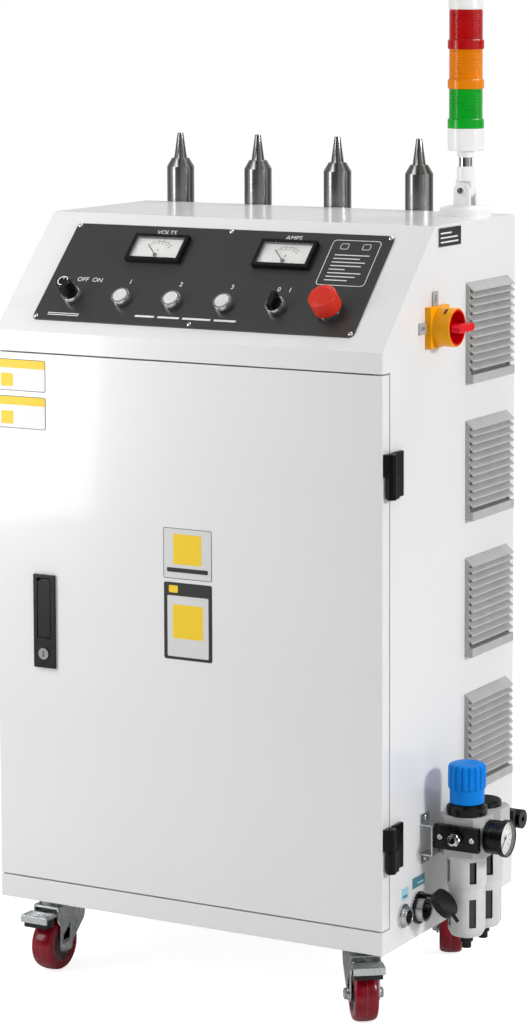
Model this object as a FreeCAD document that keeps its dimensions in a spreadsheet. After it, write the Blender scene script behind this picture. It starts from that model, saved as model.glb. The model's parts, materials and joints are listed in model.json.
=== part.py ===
import FreeCAD, Part
import math
import os
import re
import Sketcher

# Plasma treatment cabinet on four swivel casters, with its control slope,
# louvred side, air unit, isolator, signal tower and four plasma guns.
# Millimetres. Origin: middle of the cabinet footprint, on the floor.
# X runs to the right, Y to the back, Z up. The door faces -Y.

doc = FreeCAD.newDocument("plasma_cabinet")
dim = doc.addObject("Spreadsheet::Sheet", "dim")
dim.Label = "Driving sizes"
known = set()


def size(name, value):
    """Put one named size on its own row of the sheet."""
    row = len(known) + 1
    dim.set("A%d" % row, name)
    dim.set("B%d" % row, str(value))
    dim.setAlias("B%d" % row, name)
    known.add(name)


# Sizes of the cabinet
cab_w = 600  # width of the cabinet body
cab_d = 400  # depth of the cabinet body
body_h = 950  # height of the cabinet body without casters
sheet_t = 2  # sheet metal thickness
slope_run = 152  # horizontal run of the control slope
fascia_h = 153  # fold below the control slope to the top
door_low = 31  # height of the base strip below the door
door_head = 28  # top edge of the door opening below the fold
door_depth = 20  # depth of the door pan
door_gap = 2  # gap round the door
door_t = 1.5  # door sheet thickness
front_flange = 30  # flange beside the door opening
front_lip = 24  # flange above and below the door opening
rear_flange = 18  # flange round the rear opening
rear_over = 6  # rear panel overlap on its flange
rear_t = 2  # rear panel thickness

# Sizes of the control slope
plate_w = 498  # control plate width
plate_l = 173.5  # control plate length up the slope
plate_t = 2  # control plate thickness
plate_low = 21  # fold to the lower edge of the control plate
plate_r = 8  # corner radius of the control plate
control_first = -200  # first control from the middle
control_pitch = 80  # distance between controls
control_up = 62.5  # fold to the row of controls
meter_x = 100  # meter centre from the middle
meter_up = 151.5  # fold to the meter centres
meter_w = 85.5  # meter frame width
meter_l = 46  # meter frame height
meter_h = 8  # meter frame stand-up
meter_rim = 5  # meter frame rim width
meter_back_w = 62  # meter housing width behind the panel
meter_back_l = 34  # meter housing height behind the panel
meter_back_h = 35  # meter housing depth behind the panel
meter_floor = 1.5  # floor of the meter recess
dial_t = 1  # dial thickness
window_t = 1.2  # window thickness
window_sink = 0.8  # window below the rim
needle_l = 24  # meter needle length
needle_w = 1.4  # needle width
needle_t = 0.6  # needle thickness
needle_up = 1.4  # needle above the dial
needle_low = 11  # needle pivot below the dial middle
needle_rest = 45  # needle rest angle left of upright
pivot_r = 1  # needle shaft radius
pivot_play = 0.3  # play round the needle shaft
cut_play = 1  # play round the meter housing in the sheet
barrel_r = 11  # switch barrel radius
barrel_play = 0.3  # play round the switch barrel in the sheet
barrel_l = 14  # switch barrel length below the plate
bezel_r = 14.5  # switch ring radius
bezel_top_r = 13  # switch ring radius at its top
bezel_h = 10  # switch ring height
cap_r = 10.2  # push button radius
cap_play = 0.3  # play round the button in its ring
cap_up = 1.5  # button top above the ring
cap_travel = 3.5  # push button travel
stem_r = 4  # button stem radius
stem_low = 12  # button stem end below the plate
block_w = 30  # contact block width
block_h = 42  # contact block depth
knob_r = 11  # power knob radius
knob_h = 25  # power knob height above its ring
bar_l = 24  # selector bar length
bar_w = 7  # selector bar width
bar_h = 11  # selector bar height
estop_r = 19.5  # emergency stop head radius
estop_top = 33  # emergency stop head top above the plate
estop_low = 16  # emergency stop head underside above the plate
estop_ring_h = 8  # emergency stop collar height
estop_skirt = 8.5  # emergency stop skirt end above the plate
estop_skirt_in = 16.5  # emergency stop skirt inner radius

# Sizes of the door lock
lock_x = -222  # lock centre from the middle
lock_z = 397.5  # lock centre above the body underside
lock_w = 34  # lock frame width
lock_l = 130  # lock frame height
lock_up = 4.5  # lock frame stand-up
lock_back_w = 27  # lock housing width behind the door face
lock_back_l = 122  # lock housing height behind the door face
lock_back_h = 15  # lock housing depth behind the door face
lock_cut_play = 0.5  # play round the housing in the door sheet
recess_w = 22  # handle recess width
recess_low = -24  # handle recess lower end from the centre
recess_high = 60  # handle recess upper end from the centre
recess_h = 9  # handle recess depth below the door face
grip_play = 1  # play round the handle in its recess
grip_back = 5  # handle back below the door face
grip_front = 4  # handle front above the door face
grip_pin_r = 2  # handle pin radius
grip_pin_play = 0.2  # play round the handle pin
grip_pin_drop = 4  # handle pin below the recess top
grip_pin_sink = 2.5  # handle pin below the door face
key_z = -45  # key barrel from the lock centre
key_r = 8  # key barrel radius
key_play = 0.2  # play round the key barrel
key_up = 2  # key barrel above the lock frame
keyway_w = 2  # keyway width
keyway_l = 9  # keyway length
keyway_h = 5  # keyway depth
cam_l = 62  # latch cam length
cam_w = 12  # latch cam width
cam_t = 3  # latch cam thickness
cam_gap = 1  # latch cam behind the front flange

# Sizes of the door hinges
hinge_h = 60  # hinge height
hinge_head = 164  # upper hinge lower end below the door opening top
hinge_low_z = 110  # lower hinge lower end above the body underside
hinge_out = 8  # hinge axis outside the cabinet side
hinge_back = 10  # hinge axis behind the door face
knuckle_r = 7  # hinge knuckle radius
hinge_pin_r = 2.5  # hinge pin radius
hinge_play = 0.3  # play in the hinge
leaf_t = 6  # hinge leaf thickness
leaf_w = 26  # body leaf width
leaf_back = 24  # body leaf start behind the door face
door_leaf_w = 18  # door leaf width
hinge_arm_w = 10  # knuckle arm width

# Sizes of the isolator
iso_y = -51  # isolator centre from the middle of the side
iso_up = 20.5  # isolator centre above the fold
iso_w = 55  # isolator plate side
iso_t = 9  # isolator plate thickness
iso_ring_r = 26  # isolator ring radius
iso_ring_t = 3.5  # isolator ring wall
iso_ring_h = 25  # isolator ring height
iso_dish_play = 0.5  # play round the isolator dish
iso_dish_t = 7  # isolator dish thickness
iso_sink = 2  # isolator dish below the ring
iso_grip_l = 46  # isolator grip length
iso_grip_w = 11  # isolator grip width
iso_grip_h = 17  # isolator grip height
iso_shaft_r = 5  # isolator shaft radius
iso_shaft_play = 0.4  # play round the isolator shaft
iso_shaft_l = 20  # isolator shaft length inside the cabinet
iso_block_w = 50  # isolator switch block side
iso_block_h = 48  # isolator switch block depth
tab_w = 15  # isolator label tab width
tab_l = 19  # isolator label tab length
tab_t = 2  # isolator label tab thickness

# Sizes of the louvre grilles
vent_n = 4  # number of grilles up the side
vent_y = 110  # grille centre from the middle of the side
vent_z = 233.5  # lowest grille centre above the body underside
vent_pitch = 188.5  # distance between grilles
vent_w = 132  # grille width
vent_h = 137  # grille height
vent_t = 12  # grille stand-out
vent_rim = 4  # grille rim width
vent_side = 6  # grille side wall depth
hood_drop = 10.5  # grille hood fall from back to front
lip_h = 12  # grille bottom lip height
slat_n = 10  # slats in a grille
slat_t = 1.8  # slat thickness
slat_back = 3  # slat back edge in front of the cabinet side
slat_drop = 7  # slat fall from back to front
slat_low = 6  # lowest slat tip above the lip

# Sizes of the air unit
air_out = 51.5  # air unit axis outside the cabinet side
air_y = -53  # first air unit axis from the middle of the side
air_z = 137.5  # air unit ports above the body underside
air_pitch = 51  # distance between the two air units
air_w = 65  # air unit body width across the ports
air_h = 55  # air unit body height
air_corner = 11  # air unit body corner chamfer
port_r = 8.5  # air port radius
port_l = 14  # air port depth
gauge_port_r = 5  # gauge port radius
gauge_port_l = 8  # gauge port depth
guard_r = 26.5  # bowl guard upper radius
guard_low_r = 25  # bowl guard lower radius
guard_t = 2  # bowl guard wall
guard_step = 41  # bowl guard step below the body
guard_l = 113  # bowl guard length
guard_end_r = 13  # bowl guard bottom radius
slot_w = 10  # guard slot width
slot_up_low = 63.5  # upper slot lower end below the ports
slot_up_l = 29.5  # upper slot length
slot_low_low = 124  # lower slot lower end below the ports
slot_low_l = 39  # lower slot length
bowl_r = 22.4  # bowl radius
bowl_t = 2  # bowl wall
bowl_l = 110  # bowl length
bowl_hole_r = 4  # hole in the bowl bottom
drain_r = 9  # drain collar radius
drain_low_r = 6.5  # drain nipple radius
drain_collar_h = 7  # drain collar height
drain_l = 16  # drain length below the guard
cover_r = 27.5  # regulator collar radius
cover_h = 14  # regulator collar height
cover_chamfer = 4  # regulator collar chamfer
cap_cover_r = 24.5  # second unit top cover radius
cap_cover_h = 8  # second unit top cover height
dial_knob_r = 25.5  # regulator knob radius
dial_knob_low_r = 23.3  # regulator knob skirt radius
dial_knob_h = 54  # regulator knob height
dial_knob_skirt = 20  # regulator knob skirt height
dial_knob_dome = 4  # regulator knob dome height
dial_knob_gap = 1  # regulator knob above its collar
spigot_r = 11  # regulator knob spigot radius
spigot_play = 0.4  # play round the regulator spigot
spigot_l = 10  # regulator knob spigot length
end_t = 8  # end plate thickness
end_h = 33  # end plate height
fit_r = 9.5  # port fitting flange radius
fit_up = 3  # port fitting flange height
tube_r = 4.1  # tube socket radius
tube_l = 15  # tube socket depth
elbow_r = 13  # outlet elbow radius
elbow_reach = 36  # outlet elbow reach from the port axis
elbow_out = 16  # outlet elbow axis behind the end plate
gauge_r = 25  # gauge radius
gauge_back_r = 17  # gauge back radius
gauge_l = 29  # gauge length
gauge_rim = 2.5  # gauge rim width
gauge_deep = 7  # gauge recess depth
gauge_needle_l = 16  # gauge needle length
gauge_rest = 135  # gauge needle rest angle left of upright
bracket_w = 25  # bracket width
bracket_t = 2  # bracket thickness
bracket_high = 27.5  # bracket top above the ports
bracket_low = 40.5  # bracket bottom below the ports
bracket_tab = 13  # bracket wall tab height
bracket_first = -38.5  # front bracket start from the first unit
bracket_second = 64.5  # rear bracket start from the first unit

# Sizes of the two round sockets
plug_y = -98  # large socket from the middle of the side
plug_z = 40  # sockets above the body underside
plug_flange_r = 22.5  # large socket flange radius
plug_r = 17  # large socket shell radius
plug_up = 15  # large socket shell length
plug_bore_r = 14  # large socket bore radius
small_y = -141  # small socket from the middle of the side
small_flange_r = 16  # small socket flange radius
small_r = 12  # small socket shell radius
small_up = 10  # small socket shell length
small_bore_r = 9.5  # small socket bore radius
plug_flange_t = 3  # socket flange thickness
seat_step = 0.5  # socket seat under the cap loop over the shell radius
plug_insert = 5  # socket insert below the shell rim
plug_tail = 12  # socket tail length inside the cabinet
plug_play = 0.5  # play round the socket tails
pin_r = 1.2  # contact pin radius
pin_ring = 0.55  # contact pin circle over the bore radius
loop_w = 4  # dust cap loop width
loop_t = 3  # dust cap loop thickness
strap_w = 5  # dust cap strap width
strap_l = 37.5  # dust cap strap length away from the side
dust_r = 20  # dust cap radius
dust_h = 10  # dust cap depth
dust_t = 2.5  # dust cap wall
dust_y = -4  # dust cap centre behind the large socket
dust_out = 42  # dust cap centre outside the cabinet side
dust_up = 12  # dust cap centre above the large socket
dust_tilt = 40  # dust cap tilt

# Sizes of the plasma guns and their rack
gun_first = -256  # first gun from the middle
gun_pitch = 131.5  # distance between guns
gun_r = 20  # gun radius
gun_above = 51  # gun barrel above the cabinet top
gun_below = 110  # gun barrel below the cabinet top
gun_neck_h = 12  # gun shoulder height
gun_neck_r = 12.5  # gun shoulder top radius
nozzle_l = 37  # nozzle length
nozzle_r = 9.5  # nozzle base radius
nozzle_tip_r = 4  # nozzle tip radius
nozzle_bore_r = 1.6  # nozzle bore radius
nozzle_bore_l = 20  # nozzle bore depth
gland_r = 9  # gun gland radius
gland_l = 28  # gun gland length
gun_play = 0.6  # play round a gun in the rack
rack_t = 2  # rack sheet thickness
rack_shelf_t = 3  # rack shelf thickness
rack_shelf_l = 50  # rack shelf depth
rack_end = 30  # rack beyond the outer guns
rack_top = 24  # upper rack shelf below the cabinet top

# Sizes of the signal tower
tower_x = 244  # tower centre from the middle
tower_y = 158  # tower centre from the middle
foot_r = 36  # tower foot radius
foot_h = 9  # tower foot thickness
ear_w = 24  # clevis ear width
ear_t = 6  # clevis ear thickness
ear_in = 7  # clevis ear inside from the middle
tower_pivot_z = 34  # tower pivot above the cabinet top
tongue_play = 0.3  # play beside the tower tongue
bolt_r = 3  # tower pivot bolt radius
bolt_head_r = 5.5  # tower pivot bolt head radius
bolt_head_h = 3  # tower pivot bolt head height
bolt_play = 0.2  # play round the tower pivot bolt
arm_r = 12  # tower socket radius
arm_low = 47  # tower socket lower end above the cabinet top
arm_high = 67  # tower socket upper end
pole_r = 9  # tower pole radius
pole_high = 80  # tower pole visible top
neck_r = 11.5  # tower neck radius
neck_high = 89  # tower neck top
stack_r = 25  # tower housing and lens flange radius
stack_low = 120  # tower housing top
lens_pitch = 54.5  # distance between lenses
lens_flange_h = 13  # lens flange height
lens_r = 23.7  # lens radius
lens_t = 2  # lens wall
led_r = 8  # lamp column radius
led_play = 0.2  # play round the lamp column in the cap
tower_cap_h = 19  # tower cap height
tower_cap_r = 24  # tower cap radius

# Sizes of the casters
caster_in_x = 66  # swivel axis from the cabinet side
caster_in_y = 62  # swivel axis from the cabinet front or back
caster_plate = 68  # caster plate side
caster_plate_t = 3.5  # caster plate thickness
race_r = 23  # caster raceway radius
race_h = 6  # caster raceway height
king_r = 5  # kingpin radius
king_head_r = 9  # kingpin head radius
king_head_h = 3  # kingpin head height
king_play = 0.3  # play in the swivel
crown_r = 25  # fork crown radius
crown_t = 3  # fork crown thickness
fork_t = 2.5  # fork leg thickness
fork_in = 18  # fork leg inside from the middle
fork_nose = 22  # fork front before the swivel axis
fork_tail = 51  # fork end behind the swivel axis
fork_skirt = 18  # depth of the fork sides at the tail
fork_eye = 10.5  # fork end below the axle
fork_cheek = 15  # fork end behind the axle
trail = 30  # wheel axle behind the swivel axis
wheel_r = 37.5  # wheel radius
wheel_edge_r = 35.5  # wheel radius at its edges
wheel_w = 32  # wheel width
wheel_gap = 16.2  # wheel top below the fork crown
core_r = 22.5  # wheel core radius
hub_r = 10  # wheel hub radius
hub_w = 34.5  # wheel hub width
web_sink = 3  # wheel core face below the tyre face
axle_r = 4  # axle radius
axle_play = 0.2  # play round the axle
axle_head_r = 7  # axle head radius
axle_head_h = 4  # axle head height
pedal_t = 3  # brake pedal thickness
pedal_w = 30  # brake pedal width
pedal_l = 58  # brake pedal length
tread_w = 43  # brake pedal tread width
tread_start = 31  # brake pedal tread start behind its pin
tread_fold = 9  # depth of the fold at the end of the tread
pedal_pin_t = 24  # pedal pin behind the swivel axis
pedal_pin_up = 8  # pedal pin above the wheel top
pedal_pin_r = 2.5  # pedal pin radius
pedal_pin_play = 0.2  # play round the pedal pin
shoe_l = 15  # brake shoe length
shoe_start = 22  # brake shoe start behind the pedal pin
shoe_low = 7  # brake shoe below the pedal pin
turn_fl = -90  # front left caster heading
turn_fr = -53  # front right caster heading
turn_bl = 60  # back left caster heading
turn_br = 115  # back right caster heading

# Sizes of the units inside
unit_n = 2  # number of power units inside
unit_w = 230  # power unit width
unit_d = 250  # power unit depth
unit_h = 190  # power unit height
unit_gap = 40  # gap between the power units
unit_y = 40  # power unit centre from the middle

# Each number above gets its own row on the sheet
for name, value in list(globals().items()):
    if isinstance(value, (int, float)):
        size(name, value)

# Sizes that follow from the ones above
size("half_w", "=cab_w / 2")  # half the cabinet width
size("half_d", "=cab_d / 2")  # half the cabinet depth
size("caster_h", "=2 * wheel_r + wheel_gap + crown_t + king_play + race_h + caster_plate_t")
size("fascia_low", "=body_h - fascia_h")  # height of the fold below the control slope
size("door_high", "=fascia_low - door_head")  # height of the top edge of the door opening
size("hinge_top_z", "=door_high - hinge_head")  # upper hinge lower end
size("iso_z", "=fascia_low + iso_up")  # isolator centre
size("pedal_pin_z", "=2 * wheel_r + pedal_pin_up")  # pedal pin above the floor
size("top_z", "=caster_h + body_h")  # cabinet top above the floor
size("slope_rise", "=body_h - fascia_low")  # rise of the slope
size("slope_l", "=sqrt(slope_run * slope_run + slope_rise * slope_rise)")  # slope length
size("slope_c", "=slope_run / slope_l")  # run per length of slope
size("slope_s", "=slope_rise / slope_l")  # rise per length of slope
size("fold_top", "=sheet_t * (1 - slope_c) / slope_s")  # inner shift at the upper fold
size("fold_low", "=sheet_t * (1 - slope_s) / slope_c")  # inner shift at the lower fold
size("inner_front", "=door_depth + door_gap")  # front wall behind the door face
size("bezel_bore", "=cap_r + cap_play")  # switch ring bore
size("recess_mid", "=(recess_low + recess_high) / 2")  # handle recess middle
size("cam_deep", "=door_depth + door_gap + sheet_t + cam_gap")  # latch cam depth
size("gun_y", "=half_d + rear_t + rack_t + gun_play + gun_r")  # gun axis from the middle
size("fork_top", "=caster_h - caster_plate_t - race_h - king_play")  # top of the fork crown
size("air_x", "=half_w + air_out")  # air unit axis from the middle
size("air_top", "=air_h / 2")  # air unit body half height
size("unit_side", "=air_w / 2")  # air unit half width
size("tongue", "=ear_in - tongue_play")  # tower tongue half thickness
size("tower_end", "=stack_low + 3 * lens_pitch")  # top of the upper lens
doc.recompute()


def ex(text):
    """Point every size name in an expression at its cell."""
    return re.sub(
        r"[a-z_][a-z0-9_]*",
        lambda m: "dim." + m.group(0) if m.group(0) in known else m.group(0),
        text,
    )


def bind(obj, **sizes):
    """Bind properties of one object to expressions."""
    for prop, text in sizes.items():
        obj.setExpression(prop, ex(text))
    return obj


def place(obj, x="0", y="0", z="0"):
    """Bind the position of one object."""
    for letter, text in (("x", x), ("y", y), ("z", z)):
        obj.setExpression("Placement.Base." + letter, ex(text))
    return obj


def turn(obj, axis, angle):
    """Turn one object about its own origin by a bound angle."""
    obj.Placement = FreeCAD.Placement(
        obj.Placement.Base, FreeCAD.Rotation(FreeCAD.Vector(*axis), 30)
    )
    obj.setExpression("Placement.Rotation.Angle", ex(angle))
    return obj


def block(name, lx, ly, lz, x="0", y="0", z="0"):
    """A box from its lower corner."""
    obj = doc.addObject("Part::Box", name)
    bind(obj, Length=lx, Width=ly, Height=lz)
    return place(obj, x, y, z)


def middle(name, lx, ly, lz, x="0", y="0", z="0"):
    """A box centred in X and Y on its position."""
    corner_x = "(%s) - (%s) / 2" % (x, lx)
    corner_y = "(%s) - (%s) / 2" % (y, ly)
    return block(name, lx, ly, lz, corner_x, corner_y, z)


ALONG = {"x": ((0, 1, 0), 90), "y": ((1, 0, 0), -90), "-y": ((1, 0, 0), 90)}


def rod(name, r, h, x="0", y="0", z="0", along="z"):
    """A cylinder that starts at its position and runs along an axis."""
    obj = doc.addObject("Part::Cylinder", name)
    bind(obj, Radius=r, Height=h)
    if along in ALONG:
        axis, angle = ALONG[along]
        obj.Placement = FreeCAD.Placement(
            FreeCAD.Vector(), FreeCAD.Rotation(FreeCAD.Vector(*axis), angle)
        )
    return place(obj, x, y, z)


def origin_plane(body, role):
    """The origin plane of a body that has a given role."""
    return [o for o in body.Origin.OriginFeatures if o.Role == role][0]


def outline(body, name, role, points):
    """A closed sketch whose corners are bound to sizes."""
    sketch = body.newObject("Sketcher::SketchObject", name)
    sketch.AttachmentSupport = (origin_plane(body, role), [""])
    sketch.MapMode = "FlatFace"
    count = len(points)
    ring = []
    for k in range(count):
        angle = 2 * math.pi * k / count
        ring.append(FreeCAD.Vector(10 * math.cos(angle), 10 * math.sin(angle), 0))
    for k in range(count):
        sketch.addGeometry(Part.LineSegment(ring[k], ring[(k + 1) % count]), False)
    for k in range(count):
        joined = Sketcher.Constraint("Coincident", k, 2, (k + 1) % count, 1)
        sketch.addConstraint(joined)
    for k in range(count):
        spot = (("DistanceX", 0, ring[k].x), ("DistanceY", 1, ring[k].y))
        for kind, column, start in spot:
            bound = Sketcher.Constraint(kind, -1, 1, k, 1, start)
            index = sketch.addConstraint(bound)
            sketch.setExpression("Constraints[%d]" % index, ex(points[k][column]))
    return sketch


def turned(name, points):
    """A body of revolution about its own Z from (radius, height) corners."""
    body = doc.addObject("PartDesign::Body", name)
    sketch = outline(body, name + "_profile", "XZ_Plane", points)
    spin = body.newObject("PartDesign::Revolution", name + "_turn")
    spin.Profile = sketch
    spin.ReferenceAxis = (sketch, ["V_Axis"])
    spin.Angle = 360
    sketch.Visibility = False
    body.Tip = spin
    return body


def extruded(name, role, points, length, both=True):
    """A body padded from a flat profile."""
    body = doc.addObject("PartDesign::Body", name)
    sketch = outline(body, name + "_profile", role, points)
    pad = body.newObject("PartDesign::Pad", name + "_pad")
    pad.Profile = sketch
    pad.setExpression("Length", ex(length))
    if both:
        pad.Midplane = True
    sketch.Visibility = False
    body.Tip = pad
    return body


def join(name, *shapes):
    """Several shapes fused into one."""
    obj = doc.addObject("Part::MultiFuse", name)
    obj.Shapes = list(shapes)
    obj.Refine = True
    return obj


def cut(name, base, *tools):
    """One shape less the others."""
    obj = doc.addObject("Part::Cut", name)
    obj.Base = base
    obj.Tool = tools[0] if len(tools) == 1 else join(name + "_tools", *tools)
    obj.Refine = True
    return obj


def together(name, *shapes):
    """Separate solids kept as one group."""
    obj = doc.addObject("Part::Compound", name)
    obj.Links = list(shapes)
    return obj


def on_slope(obj, x, up, out="0", base="caster_h"):
    """Stand an object on the control slope, its Z along the outward normal."""
    obj.Placement = FreeCAD.Placement(
        FreeCAD.Vector(), FreeCAD.Rotation(FreeCAD.Vector(1, 0, 0), 45)
    )
    obj.setExpression("Placement.Rotation.Angle", ex("atan(slope_rise / slope_run)"))
    y = "-half_d + (%s) * slope_c - (%s) * slope_s" % (up, out)
    z = "(%s) + fascia_low + (%s) * slope_s + (%s) * slope_c" % (base, up, out)
    return place(obj, x, y, z)


def on_side(obj, y, z, out="0", base="caster_h"):
    """Stand an object on the right side: X back, Y up, Z outwards."""
    obj.Placement = FreeCAD.Placement(
        FreeCAD.Vector(), FreeCAD.Rotation(FreeCAD.Vector(1, 1, 1), 120)
    )
    return place(obj, "half_w + (%s)" % out, y, "(%s) + (%s)" % (base, z))


def on_front(obj, x, z, out="0", base="caster_h"):
    """Stand an object on the door face: X right, Y up, Z outwards."""
    obj.Placement = FreeCAD.Placement(
        FreeCAD.Vector(), FreeCAD.Rotation(FreeCAD.Vector(1, 0, 0), 90)
    )
    return place(obj, x, "-half_d - (%s)" % out, "(%s) + (%s)" % (base, z))


nodes = {}


def node(name, label, obj):
    """Name one finished piece."""
    obj.Label = label
    nodes[name] = obj
    return obj


CONTROLS = ["control_first + %d * control_pitch" % k for k in range(6)]
METERS = ["-meter_x", "meter_x"]
VENTS = ["vent_z + %d * vent_pitch" % k for k in range(4)]
GUNS = ["gun_first + %d * gun_pitch" % k for k in range(4)]

# Cabinet shell: folded sheet, open at the back, with the door opening
shell_points = [
    ("-half_d", "0"),
    ("half_d", "0"),
    ("half_d", "body_h"),
    ("-half_d + slope_run", "body_h"),
    ("-half_d", "fascia_low"),
    ("-half_d", "door_high"),
    ("-half_d + inner_front", "door_high"),
    ("-half_d + inner_front", "door_low"),
    ("-half_d", "door_low"),
]
hollow_points = [
    ("-half_d + sheet_t", "sheet_t"),
    ("half_d - sheet_t", "sheet_t"),
    ("half_d - sheet_t", "body_h - sheet_t"),
    ("-half_d + slope_run + fold_top", "body_h - sheet_t"),
    ("-half_d + sheet_t", "fascia_low - fold_low"),
    ("-half_d + sheet_t", "door_high + sheet_t"),
    ("-half_d + inner_front + sheet_t", "door_high + sheet_t"),
    ("-half_d + inner_front + sheet_t", "door_low - sheet_t"),
    ("-half_d + sheet_t", "door_low - sheet_t"),
]
shell_solid = extruded("shell_solid", "YZ_Plane", shell_points, "cab_w")
shell_hollow = extruded("shell_hollow", "YZ_Plane", hollow_points, "cab_w - 2 * sheet_t")
shell_tools = [shell_hollow]
shell_tools.append(
    block(
        "door_opening",
        "cab_w - 2 * front_flange",
        "4 * sheet_t",
        "door_high - door_low - 2 * front_lip",
        "-half_w + front_flange",
        "-half_d + inner_front - sheet_t",
        "door_low + front_lip",
    )
)
shell_tools.append(
    block(
        "rear_opening",
        "cab_w - 2 * rear_flange",
        "4 * sheet_t",
        "body_h - 2 * rear_flange",
        "-half_w + rear_flange",
        "half_d - 2 * sheet_t",
        "rear_flange",
    )
)
for k in range(4):
    vent_hole = middle(
        "vent_hole_%d" % (k + 1),
        "vent_w - 4 * vent_rim",
        "vent_h - 4 * vent_rim",
        "4 * sheet_t",
        z="-2 * sheet_t",
    )
    vent_cut = together("vent_cut_%d" % (k + 1), vent_hole)
    shell_tools.append(on_side(vent_cut, "vent_y", VENTS[k], base="0"))
for k in range(2):
    meter_hole = middle(
        "meter_hole_%d" % (k + 1),
        "meter_back_w + 2 * cut_play",
        "meter_back_l + 2 * cut_play",
        "8 * sheet_t",
        z="-4 * sheet_t",
    )
    meter_cut = together("meter_cut_%d" % (k + 1), meter_hole)
    shell_tools.append(on_slope(meter_cut, METERS[k], "meter_up", base="0"))
for k in range(6):
    switch_hole = rod(
        "switch_hole_%d" % (k + 1),
        "barrel_r + barrel_play",
        "8 * sheet_t",
        z="-4 * sheet_t",
    )
    switch_cut = together("switch_cut_%d" % (k + 1), switch_hole)
    shell_tools.append(on_slope(switch_cut, CONTROLS[k], "control_up", base="0"))
side_holes = (
    ("iso_hole", "iso_shaft_r + iso_shaft_play", "iso_y", "iso_z"),
    ("plug_hole", "plug_bore_r + plug_play", "plug_y", "plug_z"),
    ("small_hole", "small_bore_r + plug_play", "small_y", "plug_z"),
)
for name, r, y, z in side_holes:
    hole = rod(name, r, "4 * sheet_t", "half_w - 2 * sheet_t", y, z, along="x")
    shell_tools.append(hole)
shell_tools.append(
    rod("tower_hole", "pole_r", "4 * sheet_t", "tower_x", "tower_y", "body_h - 2 * sheet_t")
)
shell = cut("shell", shell_solid, *shell_tools)
node("cabinet_shell", "Cabinet shell", place(shell, z="caster_h"))

rear = block(
    "rear",
    "cab_w - 2 * rear_flange + 2 * rear_over",
    "rear_t",
    "body_h - 2 * rear_flange + 2 * rear_over",
    "-half_w + rear_flange - rear_over",
    "half_d",
    "caster_h + rear_flange - rear_over",
)
node("rear_panel", "Rear panel", rear)

# Power units that stand on the floor of the cabinet
units = []
for k in range(2):
    case = block("unit_case_%d" % (k + 1), "unit_w", "unit_d", "unit_h")
    fin = block(
        "unit_groove_%d" % (k + 1),
        "unit_w * 0.8",
        "unit_d * 0.1",
        "unit_h * 0.6",
        "unit_w * 0.1",
        "-unit_d * 0.05",
        "unit_h * 0.2",
    )
    unit = cut("unit_%d" % (k + 1), case, fin)
    side = "-unit_w - unit_gap / 2" if k == 0 else "unit_gap / 2"
    place(unit, side, "unit_y - unit_d / 2", "caster_h + sheet_t")
    units.append(unit)
node("power_units", "Power units", together("units", *units))

# Control plate with rounded corners
plate_body = doc.addObject("PartDesign::Body", "plate_body")
plate_sketch = outline(
    plate_body,
    "plate_profile",
    "XY_Plane",
    [
        ("-plate_w / 2", "0"),
        ("plate_w / 2", "0"),
        ("plate_w / 2", "plate_l"),
        ("-plate_w / 2", "plate_l"),
    ],
)
plate_pad = plate_body.newObject("PartDesign::Pad", "plate_pad")
plate_pad.Profile = plate_sketch
plate_pad.setExpression("Length", ex("plate_t"))
plate_body.Tip = plate_pad
doc.recompute()
corners = []
for index, edge in enumerate(plate_pad.Shape.Edges):
    first, last = edge.Vertexes[0].Point, edge.Vertexes[-1].Point
    if abs(first.z - last.z) > 1:
        corners.append("Edge%d" % (index + 1))
plate_round = plate_body.newObject("PartDesign::Fillet", "plate_round")
plate_round.Base = (plate_pad, corners)
plate_round.setExpression("Radius", ex("plate_r"))
plate_body.Tip = plate_round
plate_sketch.Visibility = False
plate_tools = []
for k in range(2):
    plate_tools.append(
        middle(
            "plate_meter_hole_%d" % (k + 1),
            "meter_back_w + 2 * cut_play",
            "meter_back_l + 2 * cut_play",
            "4 * plate_t",
            METERS[k],
            "meter_up - plate_low",
            "-2 * plate_t",
        )
    )
for k in range(6):
    plate_tools.append(
        rod(
            "plate_switch_hole_%d" % (k + 1),
            "barrel_r + barrel_play",
            "4 * plate_t",
            CONTROLS[k],
            "control_up - plate_low",
            "-2 * plate_t",
        )
    )
plate = cut("plate", plate_body, *plate_tools)
node("control_plate", "Control plate", on_slope(plate, "0", "plate_low"))

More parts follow.
